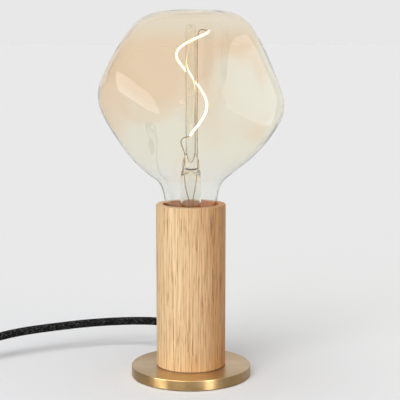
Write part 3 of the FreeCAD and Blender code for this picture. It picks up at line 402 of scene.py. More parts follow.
@dataclass(frozen=True)
class TurnedBrass(Finish):
    """Satin brass with the faint rings of turning, small clouds of handling and a thin lacquer."""

    dark: Colour = tone(179, 146, 96)
    light: Colour = tone(203, 171, 120)
    gloss: Pair = (0.27, 0.36)
    groove: float = 0.22 * MM
    cloud_scale: float = 60
    dust_scale: float = 5200
    relief: float = 0.006 * MM
    drawn: float = 0.8
    quarter_turn: float = 0.25
    lacquer: float = 0.3
    lacquer_rough: float = 0.25

    def paint(self, nodes: Nodes, shader: bpy.types.Node) -> None:
        """Rings about the upright axis in gloss and relief, clouds in the colour.

        Args:
            nodes: The material's tree.
            shader: Its main shader.
        """
        here = nodes.here()
        x, y, z = nodes.split(here)
        rings = nodes.noise(nodes.join(nodes.from_axis(here), z), 1 / self.groove, detail=2, rough=0.7)
        clouds = nodes.noise(here, self.cloud_scale, detail=4, rough=0.6)
        dust = nodes.noise(here, self.dust_scale, detail=1)
        turning = nodes.join(nodes.times(y, -1.0), x)
        nodes.fill(shader, {
            "Base Color": nodes.mix(nodes.ease(clouds, *MOST_NOISE), self.dark, self.light),
            "Roughness": nodes.ease(nodes.weigh(rings, clouds, share=0.5), *MOST_NOISE, *self.gloss),
            "Normal": nodes.bump(nodes.weigh(rings, dust, share=0.7), self.relief, strength=0.5),
            "Tangent": nodes.vector("NORMALIZE", turning).outputs[0],
            "Metallic": 1.0,
            "Anisotropic": self.drawn,
            "Anisotropic Rotation": self.quarter_turn,
            "Coat Weight": self.lacquer,
            "Coat Roughness": self.lacquer_rough})


@dataclass(frozen=True)
class Braid(Finish):
    """Black cotton braid on a cord: diagonal strands that pass over and under."""

    strands: float = 8.0
    dark: Colour = (0.0016, 0.0016, 0.0018, 1.0)
    light: Colour = (0.24, 0.235, 0.235, 1.0)
    yarn_scale: float = 5200
    yarn_edge: Pair = (0.42, 0.66)
    yarn_least: float = 0.2
    fade_scale: float = 620
    fade_edge: Pair = (0.47, 0.66)
    fade_least: float = 0.02
    lit_edge: Pair = (0.45, 1.0)
    back_curve: float = 0.6
    dip_curve: float = 0.45
    yarn_relief: float = 0.35
    relief: float = 0.3 * MM

    def strand(self, nodes: Nodes, across: Socket, length: Socket) -> Socket:
        """The rounded back of one strand, low where it dips under the other.

        Args:
            nodes: The material's tree.
            across: Strands passed, across this one.
            length: Strands passed, along this one.

        Returns:
            The height, 0 to 1.
        """
        back, dip = (nodes.calc("SINE", nodes.times(nodes.calc("FRACT", way), math.pi))
                     for way in (across, length))
        return nodes.times(nodes.calc("POWER", back, self.back_curve),
                           nodes.calc("POWER", dip, self.dip_curve))

    def paint(self, nodes: Nodes, shader: bpy.types.Node) -> None:
        """A basket of two strand families along the cord's own map, with pale yarn in random patches that
        shows only on the strands' raised backs as a painted highlight.

        Args:
            nodes: The material's tree.
            shader: Its main shader.
        """
        u, v, _ = nodes.split(nodes.add("ShaderNodeUVMap", uv_map="along").outputs[0])
        turns, rise = nodes.times(u, self.strands), nodes.times(v, self.strands)
        one, two = nodes.plus(turns, rise), nodes.minus(turns, rise)
        over = nodes.calc("PINGPONG", nodes.plus(nodes.calc("FLOOR", one), nodes.calc("FLOOR", two)), 1.0)
        strands = {0: over, 2: self.strand(nodes, one, two), 3: self.strand(nodes, two, one)}
        lift = nodes.add("ShaderNodeMix", strands, data_type="FLOAT").outputs[0]
        here = nodes.here()
        yarn = nodes.noise(here, self.yarn_scale, detail=2, rough=0.7)
        faded = nodes.noise(here, self.fade_scale, detail=1)
        # painted highlight: the pale yarn shows only on the strands' raised backs
        bright = nodes.times(nodes.ease(lift, *self.lit_edge),
                             nodes.ease(yarn, *self.yarn_edge, self.yarn_least, 1.0))
        bright = nodes.times(bright, nodes.ease(faded, *self.fade_edge, self.fade_least, 1.0))
        relief = nodes.plus(lift, nodes.times(yarn, self.yarn_relief))
        nodes.fill(shader, {
            "Base Color": nodes.mix(bright, self.dark, self.light),
            "Roughness": 0.85,
            "Normal": nodes.bump(relief, self.relief, strength=0.8),
            "Specular IOR Level": 0.15})


@dataclass(frozen=True)
class Woven(Finish):
    """Felt or webbing: matted fibres, with a weave where a thread's width is given."""

    dark: Colour = (0.008, 0.008, 0.009, 1.0)
    light: Colour = (0.045, 0.045, 0.05, 1.0)
    fibre_scale: float = 2600
    fibre_edge: Pair = (0.3, 0.8)
    thread: float = 0.0
    thread_share: float = 0.3
    relief: float = 0.25 * MM

    def paint(self, nodes: Nodes, shader: bpy.types.Node) -> None:
        """Fibres as fine noise, threads as two crossing waves.

        Args:
            nodes: The material's tree.
            shader: Its main shader.
        """
        here = nodes.here()
        height = nodes.noise(here, self.fibre_scale, detail=4, rough=0.8)
        if self.thread:
            x, y, z = nodes.split(here)
            waves = [nodes.calc("SINE", nodes.times(axis, ROUND / self.thread))
                     for axis in (y, nodes.plus(x, z))]
            height = nodes.plus(nodes.times(nodes.times(*waves), self.thread_share), height)
        nodes.fill(shader, {
            "Base Color": nodes.mix(nodes.ease(height, *self.fibre_edge), self.dark, self.light),
            "Roughness": 0.95,
            "Sheen Weight": 0.25,
            "Normal": nodes.bump(height, self.relief, strength=0.9)})


class Tint(Enum):
    """Kinds of glass on the bulb, by what is passed through one wall."""

    AMBER = "amber"
    CLEAR = "clear"


@dataclass(frozen=True)
class LampGlass(Finish):
    """Blown glass that lets lamps shine through, amber or clear.

    An edge is a stretch in metres over which a field sets in, a share is how much of it there is,
    and a stir is how far the clouds shift its edge.
    """

    tint: Tint = Tint.CLEAR
    amber: Colour = tone(253, 239, 220)
    cream: Colour = tone(253, 251, 241)
    clear: Colour = tone(252, 252, 249)
    shadow: Colour = (0.97, 0.96, 0.94, 1.0)
    cloud_scale: float = 17
    cloud_stretch: Point = (1.0, 1.0, 0.8)
    cloud_move: Point = (0.02, 0.05, 0.0)
    # amber fields: the glass's own tint, stronger upwards, with a painted reflection that makes them
    # stronger to the left
    field_edge: Pair = (0.207, 0.236)
    # painted reflection: this slope on x makes the amber fields stronger to the left
    leftward_reflection_slope: float = -0.34
    field_stir: float = 0.22
    crown_edge: Pair = (0.255, 0.276)
    crown_share: float = 0.4
    # painted reflection: a band of stronger amber over the left side
    reflection_band_edge: Pair = (-0.034, -0.016)
    reflection_band_rise: Pair = (0.168, 0.192)
    reflection_band_share: float = 0.85
    reflection_band_stir: float = 0.06
    neck_edge: Pair = (0.150, 0.180)
    ripple_scale: float = 40
    ripple: float = 0.6 * MM
    ior: float = 1.47

    def amber_tint_and_reflection(self, nodes: Nodes, here: Socket) -> Socket:
        """The glass's amber tint, stronger upwards in soft-edged fields, with a painted reflection that
        makes it stronger to the left and a painted reflection band over the left side.

        Args:
            nodes: The material's tree.
            here: The place on the envelope.

        Returns:
            The glass's colour.
        """
        x, _, z = nodes.split(here)
        cloud = nodes.noise(nodes.stretch(here, self.cloud_stretch, self.cloud_move),
                            self.cloud_scale, detail=1.5, rough=0.45)
        # painted reflection: the slope on x makes the fields stronger to the left
        high = nodes.plus(z, nodes.times(x, self.leftward_reflection_slope))
        high = nodes.plus(high, nodes.times(nodes.minus(cloud, 0.5), self.field_stir))
        fields_and_reflection = nodes.times(nodes.ease(high, *self.field_edge),
                             nodes.ease(z, *self.crown_edge, 1.0, self.crown_share))
        # painted reflection: a band of stronger amber over the left side
        reflection_x = nodes.plus(x, nodes.times(cloud, self.reflection_band_stir))
        band = nodes.times(nodes.ease(reflection_x, *self.reflection_band_edge, 1.0, 0.0),
                           nodes.ease(z, *self.reflection_band_rise, 0.0, self.reflection_band_share))
        colour = nodes.mix(nodes.calc("MAXIMUM", fields_and_reflection, band), self.cream, self.amber)
        return nodes.mix(nodes.ease(z, *self.neck_edge), self.clear, colour)

    def paint(self, nodes: Nodes, shader: bpy.types.Node) -> Socket:
        """Thin clear glass with a faint ripple, which passes light on to what is behind it.

        Args:
            nodes: The material's tree.
            shader: Its main shader.

        Returns:
            The glass, see-through to a lamp's light.
        """
        here = nodes.here()
        ripple = nodes.noise(here, self.ripple_scale, detail=1, rough=0.3)
        nodes.fill(shader, {
            "Base Color": self.amber_tint_and_reflection(nodes, here) if self.tint is Tint.AMBER else self.clear,
            "Normal": nodes.bump(ripple, self.ripple, strength=0.5),
            "Transmission Weight": 1.0,
            "Roughness": 0.0,
            "IOR": self.ior,
            "Specular IOR Level": 0.22})
        path = nodes.add("ShaderNodeLightPath").outputs
        see_through = nodes.add("ShaderNodeBsdfTransparent", {"Color": self.shadow}).outputs[0]
        inputs = {0: path["Is Shadow Ray"], 1: shader.outputs[0], 2: see_through}
        return nodes.add("ShaderNodeMixShader", inputs).outputs[0]


@dataclass(frozen=True)
class Glow(Finish):
    """Lit filament: a white heart with a warmer skin of phosphor beads."""

    warm: Colour = tone(255, 206, 140)
    hot: Colour = tone(255, 244, 222)
    bead_scale: float = 900
    bead_edge: Pair = (0.35, 0.6)
    gloss: Pair = (0.4, 0.6)
    power: float = 3.5

    def paint(self, nodes: Nodes, shader: bpy.types.Node) -> None:
        """Light that is paler on the beads than between them.

        Args:
            nodes: The material's tree.
            shader: Its main shader.
        """
        beads = nodes.noise(nodes.here(), self.bead_scale, detail=1, rough=0.4)
        colour = nodes.mix(nodes.ease(beads, *self.bead_edge), self.warm, self.hot)
        nodes.fill(shader, {
            "Base Color": colour,
            "Emission Color": colour,
            "Emission Strength": self.power,
            "Roughness": nodes.ease(beads, *MOST_NOISE, *self.gloss)})


@dataclass(frozen=True)
class Backdrop(Finish):
    """Plain pale floor that keeps shadows, with a wide painted shadow beside the lamp, and is dimmer where
    gloss mirrors it.
    """

    shade: Colour = tone(234, 234, 234)
    # painted shadow: a darker colour in a wide patch beside the lamp
    painted_shadow: Colour = tone(228, 229, 231)
    dim: float = 0.34
    shadow_centre: Point = (-0.14, -0.04, 0.0)
    shadow_edge: Pair = (0.10, 0.42)

    def paint(self, nodes: Nodes, shader: bpy.types.Node) -> None:
        """One matt colour, a little darker in a wide painted shadow beside the lamp.

        Args:
            nodes: The material's tree.
            shader: Its main shader.
        """
        away = nodes.vector("DISTANCE", nodes.here(), self.shadow_centre).outputs["Value"]
        # painted shadow beside the lamp
        colour = nodes.mix(nodes.ease(away, *self.shadow_edge), self.painted_shadow, self.shade)
        nodes.fill(shader, {
            "Base Color": nodes.mix(nodes.times(nodes.mirrored(), self.dim), colour, BLACK),
            "Roughness": 1.0,
            "Specular IOR Level": 0.0})


OAK = Oak("straight_oak")
BRASS = TurnedBrass("satin_brass")
BRAID = Braid("black_braid")
FELT = Woven("black_felt")
STRAP = Woven("black_strap", thread=1.1 * MM)
AMBER_GLASS = LampGlass("amber_blown_glass", tint=Tint.AMBER)
CLEAR_GLASS = LampGlass("clear_blown_glass")
FILAMENT = Glow("lit_filament")
STEEL = PlainMetal("bright_steel", tone(150, 152, 156), tone(196, 198, 200),
                   grain=0.3 * MM, clouds=4 * MM, gloss=(0.25, 0.4))
CONTACT = PlainMetal("stamped_brass", tone(188, 150, 86), tone(218, 182, 118),
                     grain=0.3 * MM, clouds=5 * MM, gloss=(0.2, 0.34), relief=0.005 * MM)
NICKEL = PlainMetal("nickel", tone(176, 170, 160), tone(208, 203, 194),
                    grain=0.3 * MM, clouds=5 * MM, gloss=(0.16, 0.3), relief=0.004 * MM)
WIRE = PlainMetal("scaled_wire", tone(92, 70, 44), tone(172, 134, 82),
                  clouds=3 * MM, gloss=(0.3, 0.5))
CAP_METAL = PlainMetal("rolled_aluminium", tone(188, 188, 187), tone(216, 216, 214),
                       clouds=6 * MM, gloss=(0.22, 0.34))
BLACK_RESIN = Moulded("black_resin", tone(14, 14, 15), tone(30, 29, 28),
                      grain=0.5 * MM, clouds=10 * MM, gloss=(0.28, 0.42), relief=0.01 * MM)
MATT_BLACK = Moulded("matt_black", tone(16, 16, 17), tone(27, 27, 28), grain=0.35 * MM,
                     clouds=9 * MM, gloss=(0.45, 0.6), relief=0.03 * MM, specular=0.3)
GLOSS_BLACK = Moulded("gloss_black", tone(15, 15, 16), tone(27, 27, 28), grain=0.6 * MM,
                      clouds=20 * MM, gloss=(0.14, 0.24), relief=0.004 * MM, coat=0.3)
PORCELAIN = Moulded("porcelain", tone(219, 215, 204), tone(238, 235, 228),
                    clouds=6 * MM, gloss=(0.45, 0.6))
BROWN_SLEEVE = Moulded("brown_sleeve", tone(88, 50, 30), tone(112, 66, 40))
BLUE_SLEEVE = Moulded("blue_sleeve", tone(34, 82, 150), tone(50, 104, 176))
BOARD = Moulded("coated_board", tone(206, 202, 184), tone(226, 222, 206),
                grain=0.5 * MM, clouds=4 * MM, gloss=(0.3, 0.45))

NODE_FINISHES: dict[Finish, tuple[str, ...]] = {
    OAK: ("oak_tube",),
    BRASS: ("base_plate",),
    FELT: ("foot_pad",),
    STRAP: ("coil_tie",),
    STEEL: ("base_screws", "threaded_tube", "tube_nut", "tube_washer", "holder_grub_screw",
            "terminal_screws", "cord_grip_screw", "switch_screws"),
    BLACK_RESIN: ("holder_cap", "holder_skirt", "bulb_insulator", "driver_parts"),
    PORCELAIN: ("holder_core",),
    CONTACT: ("socket_shell", "centre_contact", "side_contact", "terminal_blocks", "switch_contacts"),
    NICKEL: ("bulb_contact", "plug_pins"),
    WIRE: ("bulb_lead_wires", "filament_hooks"),
    CAP_METAL: ("bulb_cap",),
    BROWN_SLEEVE: ("live_wire",),
    BLUE_SLEEVE: ("neutral_wire",),
    BRAID: ("cord_tail",),
    MATT_BLACK: ("cord_grip", "switch_base", "switch_cover", "plug_body"),
    GLOSS_BLACK: ("switch_rocker",),
    BOARD: ("driver_board",),
}


# ---- meshes and rule-built pieces -------------------------------------------------------


def add_piece(name: str, points: Sequence[Point], faces: Sequence[Sequence[int]],
              finish: Finish, body: str) -> bpy.types.Object:
    """A smooth mesh piece that rides on a body.

    Args:
        name: The piece's name.
        points: Its corners, in metres.
        faces: Its faces as corner numbers, seen anticlockwise from outside.
        finish: Its surface.
        body: The body that it moves with.

    Returns:
        The new object.
    """
    mesh = bpy.data.meshes.new(name)
    mesh.from_pydata([tuple(p) for p in points], [], faces)
    mesh.polygons.foreach_set("use_smooth", [True] * len(mesh.polygons))
    mesh.materials.append(finish.material())
    piece = bpy.data.objects.new(name, mesh)
    bpy.context.scene.collection.objects.link(piece)
    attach(piece, body)
    LOG.info("%s: %d faces, rides on %s", name, len(mesh.polygons), body)
    return piece


def turned_mesh(outline: Sequence[Pair], columns: int,
                shape: Callable[[float, float, float], Point]) -> tuple[list, list]:
    """A closed outline of radius and height swept round the upright axis.

    Args:
        outline: Radius and height, anticlockwise when radius is to the right.
        columns: Steps round.
        shape: Place for a radius, height and angle.

    Returns:
        Corners and faces.
    """
    count = len(outline)
    points = [shape(r, z, ROUND * k / columns) for k in range(columns) for r, z in outline]
    faces = []
    for k in range(columns):
        after = (k + 1) % columns
        for i in range(count):
            j = (i + 1) % count
            faces.append((k * count + i, after * count + i, after * count + j, k * count + j))
    return points, faces


@dataclass
class RuleTree:
    """A Geometry Nodes tree with named sizes, run once and turned into a plain mesh."""

    name: str
    sizes: dict[str, float]
    group: bpy.types.NodeTree = field(init=False)
    keys: dict[str, str] = field(init=False)
    nodes: Nodes = field(init=False)
    given: dict[str, Socket] = field(init=False)

    def __post_init__(self) -> None:
        """Make the group, its inputs and its output."""
        self.group = bpy.data.node_groups.new(self.name, "GeometryNodeTree")
        face = self.group.interface
        for side in ("INPUT", "OUTPUT"):
            face.new_socket(name="Geometry", in_out=side, socket_type="NodeSocketGeometry")
        self.keys = {}
        for key, value in self.sizes.items():
            kind = "NodeSocketInt" if isinstance(value, int) else "NodeSocketFloat"
            socket = face.new_socket(name=key, in_out="INPUT", socket_type=kind)
            socket.default_value = value
            self.keys[key] = socket.identifier
        self.nodes = Nodes(self.group)
        entry = self.nodes.add("NodeGroupInput")
        self.given = {key: entry.outputs[key] for key in self.sizes}

    def curve(self, value: Socket, points: Sequence[Pair]) -> Socket:
        """A number read off a smooth curve through points within 0 and 1.

        Args:
            value: Where on the curve.
            points: Place and number, from left to right.

        Returns:
            The number.
        """
        node = self.nodes.add("ShaderNodeFloatCurve", {"Value": value})
        line = node.mapping.curves[0]
        line.points[0].location, line.points[-1].location = points[0], points[-1]
        for place in points[1:-1]:
            line.points.new(*place)
        node.mapping.update()
        return node.outputs[0]

    def finish(self, geometry: Socket, finish: Finish, body: str) -> bpy.types.Object:
        """End the tree, run it and keep its mesh.

        Args:
            geometry: What the tree has made.
            finish: Its surface.
            body: The body that it moves with.

        Returns:
            The plain mesh object.
        """
        smooth = self.nodes.add("GeometryNodeSetShadeSmooth", {"Geometry": geometry})
        real = self.nodes.add("GeometryNodeRealizeInstances", {0: smooth.outputs[0]})
        dressed = self.nodes.add("GeometryNodeSetMaterial", {"Geometry": real.outputs[0],
                                                             "Material": finish.material()})
        self.nodes.add("NodeGroupOutput", {0: dressed.outputs[0]})
        piece = bpy.data.objects.new(self.name, bpy.data.meshes.new(self.name))
        bpy.context.scene.collection.objects.link(piece)
        modifier = piece.modifiers.new(self.name, "NODES")
        modifier.node_group = self.group
        for key, value in self.sizes.items():
            modifier[self.keys[key]] = value
        depsgraph = bpy.context.evaluated_depsgraph_get()
        mesh = bpy.data.meshes.new_from_object(piece.evaluated_get(depsgraph))
        piece.modifiers.remove(modifier)
        piece.data = mesh
        mesh.name = self.name
        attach(piece, body)
        LOG.info("%s: %d faces from its rule, rides on %s", self.name, len(mesh.polygons), body)
        return piece


# ---- the bulb ---------------------------------------------------------------------------


@dataclass(frozen=True)
class Facet:
    """One soft facet of the bulb: where it faces in degrees, and its millimetres from the centre."""

    azimuth: float
    tilt: float
    far: float

    def inward(self) -> Point:
        """The facet's direction divided by its distance.

        Returns:
            The three parts, per metre.
        """
        a, e = math.radians(self.azimuth), math.radians(self.tilt)
        reach = self.far * MM
        return (math.cos(e) * math.cos(a) / reach, math.cos(e) * math.sin(a) / reach, math.sin(e) / reach)


def ring_of_facets(first: float, rows: Sequence[Pair]) -> list[Facet]:
    """Facets spaced evenly round the axis, from the first one's azimuth and each one's tilt and reach."""
    return [Facet(first + 360 / len(rows) * k, tilt, far) for k, (tilt, far) in enumerate(rows)]


@dataclass
class Bulb:
    """The screw-in filament bulb: faceted envelope, stem and filament.

    The neck is a list of tilt in degrees and reach in millimetres from the centre, and the filament
    is a list of radius and height in millimetres, a quarter turn apart. The longest reach and the
    widest radius are what their curves are drawn to. The stem is in millimetres too, and its
    outline stops by_axis short of the middle.
    """

    centre_z: float = 212 * MM
    columns: int = 161
    rows: int = 201
    sharpness: float = 7.8
    wall: float = 0.9 * MM
    dimple: float = 2.2 * MM
    dimple_r: float = 14 * MM
    dimple_tilt: Pair = (0.0, 0.5)
    ripple: float = 0.5 * MM
    ripple_scale: float = 2.2
    ripple_seed: float = 3.0
    ripple_tilt: Pair = (-0.9, -0.5)
    facets: list[Facet] = field(default_factory=lambda: [
        Facet(0, 90, 73.0), Facet(0, -90, 56.3),
        *ring_of_facets(180, [(29.0, 70.3), (26.3, 65.2), (21.4, 60.4), (18.2, 65.1), (30.0, 65.2)]),
        *ring_of_facets(0, [(-40.4, 62.6), (-38.9, 57.8), (-30.4, 57.6), (-27.0, 57.4), (-40.0, 58.6)])])
    neck: list[Pair] = field(default_factory=lambda: [
        (-83.38, 100.7), (-82.2, 91.8), (-79.4, 87.0), (-77.15, 83.1), (-75.4, 78.5), (-73.1, 72.1),
        (-70.35, 66.9), (-66.5, 62.9), (-61.0, 60.0), (-55.0, 56.5), (-48.0, 48.0), (-38.0, 20.0),
        (-30.0, 0.0)])
    longest: float = 110.0
    shoulder: float = 20.0
    by_axis: float = 0.001
    same_corner: float = 0.001 * MM
    pinch_z: float = 166.5
    pinch_reach: float = 9.5
    pinch: float = 0.52
    stem_columns: int = 40
    filament: list[Pair] = field(default_factory=lambda: [
        (14.0, 268.0), (11.5, 260.5), (10.8, 249.5), (10.5, 233.5), (12.4, 211.0), (6.6, 189.5)])
    filament_r: float = 0.75 * MM
    filament_points: int = 160
    filament_sides: int = 12
    widest: float = 20.0

    def build(self) -> None:
        """Make the envelope, the stem and the filament."""
        self.envelope()
        self.stem()
        self.lit_filament()

    def body_reach(self, tree: RuleTree, way: Socket) -> Socket:
        """How far the faceted body reaches in a direction: its facets' planes, softly joined.

        Args:
            tree: The envelope's tree.
            way: The direction.

        Returns:
            The distance from the centre.
        """
        n, sharpness = tree.nodes, tree.given["Sharpness"]
        total: Socket | float = 0.0
        for facet in self.facets:
            facing = n.vector("DOT_PRODUCT", way, facet.inward()).outputs["Value"]
            total = n.plus(n.calc("POWER", n.calc("MAXIMUM", facing, 0.0), sharpness), total)
        return n.calc("POWER", total, n.calc("DIVIDE", -1.0, sharpness))

    def neck_reach(self, tree: RuleTree, tilt: Socket) -> Socket:
        """How far the neck and its shoulder reach at a tilt.

        Args:
            tree: The envelope's tree.
            tilt: The direction's tilt.

        Returns:
            The distance from the centre.
        """
        low, high = self.neck[0][0], self.neck[-1][0]
        inputs = {"Value": tilt, "From Min": math.radians(low), "From Max": math.radians(high)}
        share = tree.nodes.add("ShaderNodeMapRange", inputs).outputs["Result"]
        shape = [((t - low) / (high - low), far / self.longest) for t, far in self.neck]
        return tree.nodes.times(tree.curve(share, shape), self.longest * MM)

    def envelope(self) -> None:
        """Blown envelope: for every direction from the centre, the farther of body and neck."""
        tree = RuleTree("glass_envelope", {
            "Columns": self.columns, "Rows": self.rows, "Centre Z": self.centre_z,
            "Sharpness": self.sharpness, "Dimple": self.dimple, "Dimple Radius": self.dimple_r,
            "Ripple": self.ripple})
        n, given = tree.nodes, tree.given
        grid = n.add("GeometryNodeMeshGrid", {"Size X": 1.0, "Size Y": 1.0, "Vertices X": given["Columns"],
                                              "Vertices Y": given["Rows"]})
        x, y, _ = n.split(n.add("GeometryNodeInputPosition").outputs[0])
        azimuth = n.times(n.plus(x, 0.5), ROUND)
        foot = self.neck[0][0]
        tilt = n.plus(n.times(n.plus(y, 0.5), math.radians(90 - foot)), math.radians(foot))
        way = n.polar(n.calc("COSINE", tilt), azimuth, n.calc("SINE", tilt))
        body = self.body_reach(tree, way)
        ratio = n.calc("POWER", n.calc("DIVIDE", self.neck_reach(tree, tilt), body), self.shoulder)
        far = n.times(body, n.calc("POWER", n.plus(ratio, 1.0), 1 / self.shoulder))
        wavy = n.add("ShaderNodeTexNoise", {"Vector": way, "Scale": self.ripple_scale, "Detail": 1.0,
                                            "W": self.ripple_seed}, noise_dimensions="4D").outputs[0]
        ripple = n.times(n.times(n.minus(wavy, 0.5), given["Ripple"]), n.ease(tilt, *self.ripple_tilt))
        reach = {0: way, "Scale": n.plus(far, ripple)}
        place = n.add("ShaderNodeVectorMath", reach, operation="SCALE").outputs[0]
        away = n.calc("DIVIDE", n.from_axis(place), given["Dimple Radius"])
        dent = n.times(n.calc("EXPONENT", n.times(n.times(away, away), -1.0)),
                       n.times(given["Dimple"], n.ease(tilt, *self.dimple_tilt)))
        raised = n.vector("ADD", place, n.join(z=n.minus(given["Centre Z"], dent))).outputs[0]
        shaped = n.add("GeometryNodeSetPosition", {"Geometry": grid.outputs["Mesh"], "Position": raised})
        closed = n.add("GeometryNodeMergeByDistance", {"Geometry": shaped.outputs[0],
                                                       "Distance": self.same_corner})
        piece = tree.finish(closed.outputs[0], AMBER_GLASS, "bulb")
        wall = piece.modifiers.new("wall", "SOLIDIFY")
        wall.thickness, wall.offset, wall.use_rim, wall.use_even_offset = self.wall, -1.0, True, True
        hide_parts("bulb_glass")

    def pressed(self, r: float, z: float, angle: float) -> Point:
        """A place on the stem, which is round but flattened front to back about the pinch.

        Args:
            r, z: Radius and height, in millimetres.
            angle: The angle round the axis.

        Returns:
            The place, in metres.
        """
        near = max(0.0, 1 - abs(z - self.pinch_z) / self.pinch_reach)
        flat = 1 - self.pinch * near * near * (3 - 2 * near)
        return (r * MM * math.cos(angle), r * MM * math.sin(angle) * flat, z * MM)

    def stem(self) -> None:
        """Flare tube, pressed flat round the wires, and the hollow rod above."""
        outer = [(10.4, 112.0), (10.6, 112.9), (8.4, 118.0), (8.0, 122.0), (8.0, 157.0), (7.6, 160.5),
                 (6.6, 163.0), (6.4, 166.5), (6.2, 170.0), (4.6, 173.0), (3.8, 176.0), (3.8, 270.6),
                 (3.2, 272.3), (1.8, 273.0), (self.by_axis, 273.0)]
        rod_bore = [(self.by_axis, 272.1), (1.6, 272.0), (2.8, 271.0), (3.05, 269.5), (3.05, 175.5),
                    (2.4, 171.0), (0.8, 168.0), (self.by_axis, 167.4)]
        flare_bore = [(self.by_axis, 161.8), (3.4, 161.2), (6.2, 159.0), (7.0, 156.5), (7.0, 122.0),
                      (7.3, 117.6), (9.3, 112.0)]
        points, faces = turned_mesh(outer + rod_bore + flare_bore, self.stem_columns, self.pressed)
        piece = add_piece("glass_stem", points, faces, CLEAR_GLASS, "bulb")
        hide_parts("bulb_stem")

    def lit_filament(self) -> None:
        """Spiral filament: radius and height read off two curves as it turns round the rod."""
        quarters = len(self.filament) - 1
        top, foot = self.filament[0][1], self.filament[-1][1]
        tree = RuleTree("spiral_filament", {
            "Points": self.filament_points, "Thickness": self.filament_r,
            "Turn": -ROUND / 4 * quarters, "Top Z": top * MM, "Foot Z": foot * MM})
        n, given = tree.nodes, tree.given
        line = n.add("GeometryNodeCurvePrimitiveLine", {"Start": (0, 0, 0), "End": (0, 0, -0.1)})
        dense = n.add("GeometryNodeResampleCurve", {"Curve": line.outputs[0], "Count": given["Points"]})
        along = n.add("GeometryNodeSplineParameter").outputs["Factor"]
        steps = [(k / quarters, r, z) for k, (r, z) in enumerate(self.filament)]
        radius = tree.curve(along, [(share, r / self.widest) for share, r, _ in steps])
        height = tree.curve(along, [(share, (z - foot) / (top - foot)) for share, _, z in steps])
        z = n.plus(n.times(height, n.minus(given["Top Z"], given["Foot Z"])), given["Foot Z"])
        place = n.polar(n.times(radius, self.widest * MM), n.times(along, given["Turn"]), z)
        bent = n.add("GeometryNodeSetPosition", {"Geometry": dense.outputs[0], "Position": place})
        ring = n.add("GeometryNodeCurvePrimitiveCircle", {"Resolution": self.filament_sides,
                                                          "Radius": given["Thickness"]})
        tube = n.add("GeometryNodeCurveToMesh", {"Curve": bent.outputs[0], "Profile Curve": ring.outputs[0],
                                                 "Fill Caps": True})
        piece = tree.finish(tube.outputs[0], FILAMENT, "bulb")
        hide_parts("led_filament")


# ---- the cord ------------------------------------------------------------------------------


@dataclass
class Coil:
    """Put-away coil, clockwise: in on the lower layer and out on the upper. Sizes in millimetres."""

    centre: Point = (-311.9, -14.05, 4.6)
    outer_r: float = 47.5
    pitch: float = 7.4
    layer: float = 7.4
    start: float = -53.13
    turns: float = 5 + 171.87 / 360
    per_turn: int = 20
    crossing: float = 0.25

    def points(self) -> list[Point]:
        """The coil's control points, which climb to the upper layer about the innermost turn.

        Returns:
            The points, in millimetres.
        """
        half, reach = self.turns / 2, self.crossing
        count = round(self.turns * self.per_turn)
        swell = 4 / (3 + math.cos(ROUND / self.per_turn))
        line = []
        for k in range(count + 1):
            turn = self.turns * k / count
            off = abs(turn - half)
            r = self.outer_r - self.pitch * (half - off)
            if off < reach:
                r += self.pitch * (reach - off) ** 2 / (2 * reach)
            share = min(1.0, max(0.0, (turn - half + reach) / (2 * reach)))
            angle = math.radians(self.start) - ROUND * turn
            line.append((self.centre[0] + r * swell * math.cos(angle),
                         self.centre[1] + r * swell * math.sin(angle),
                         self.centre[2] + self.layer * share * share * (3 - 2 * share)))
        return line


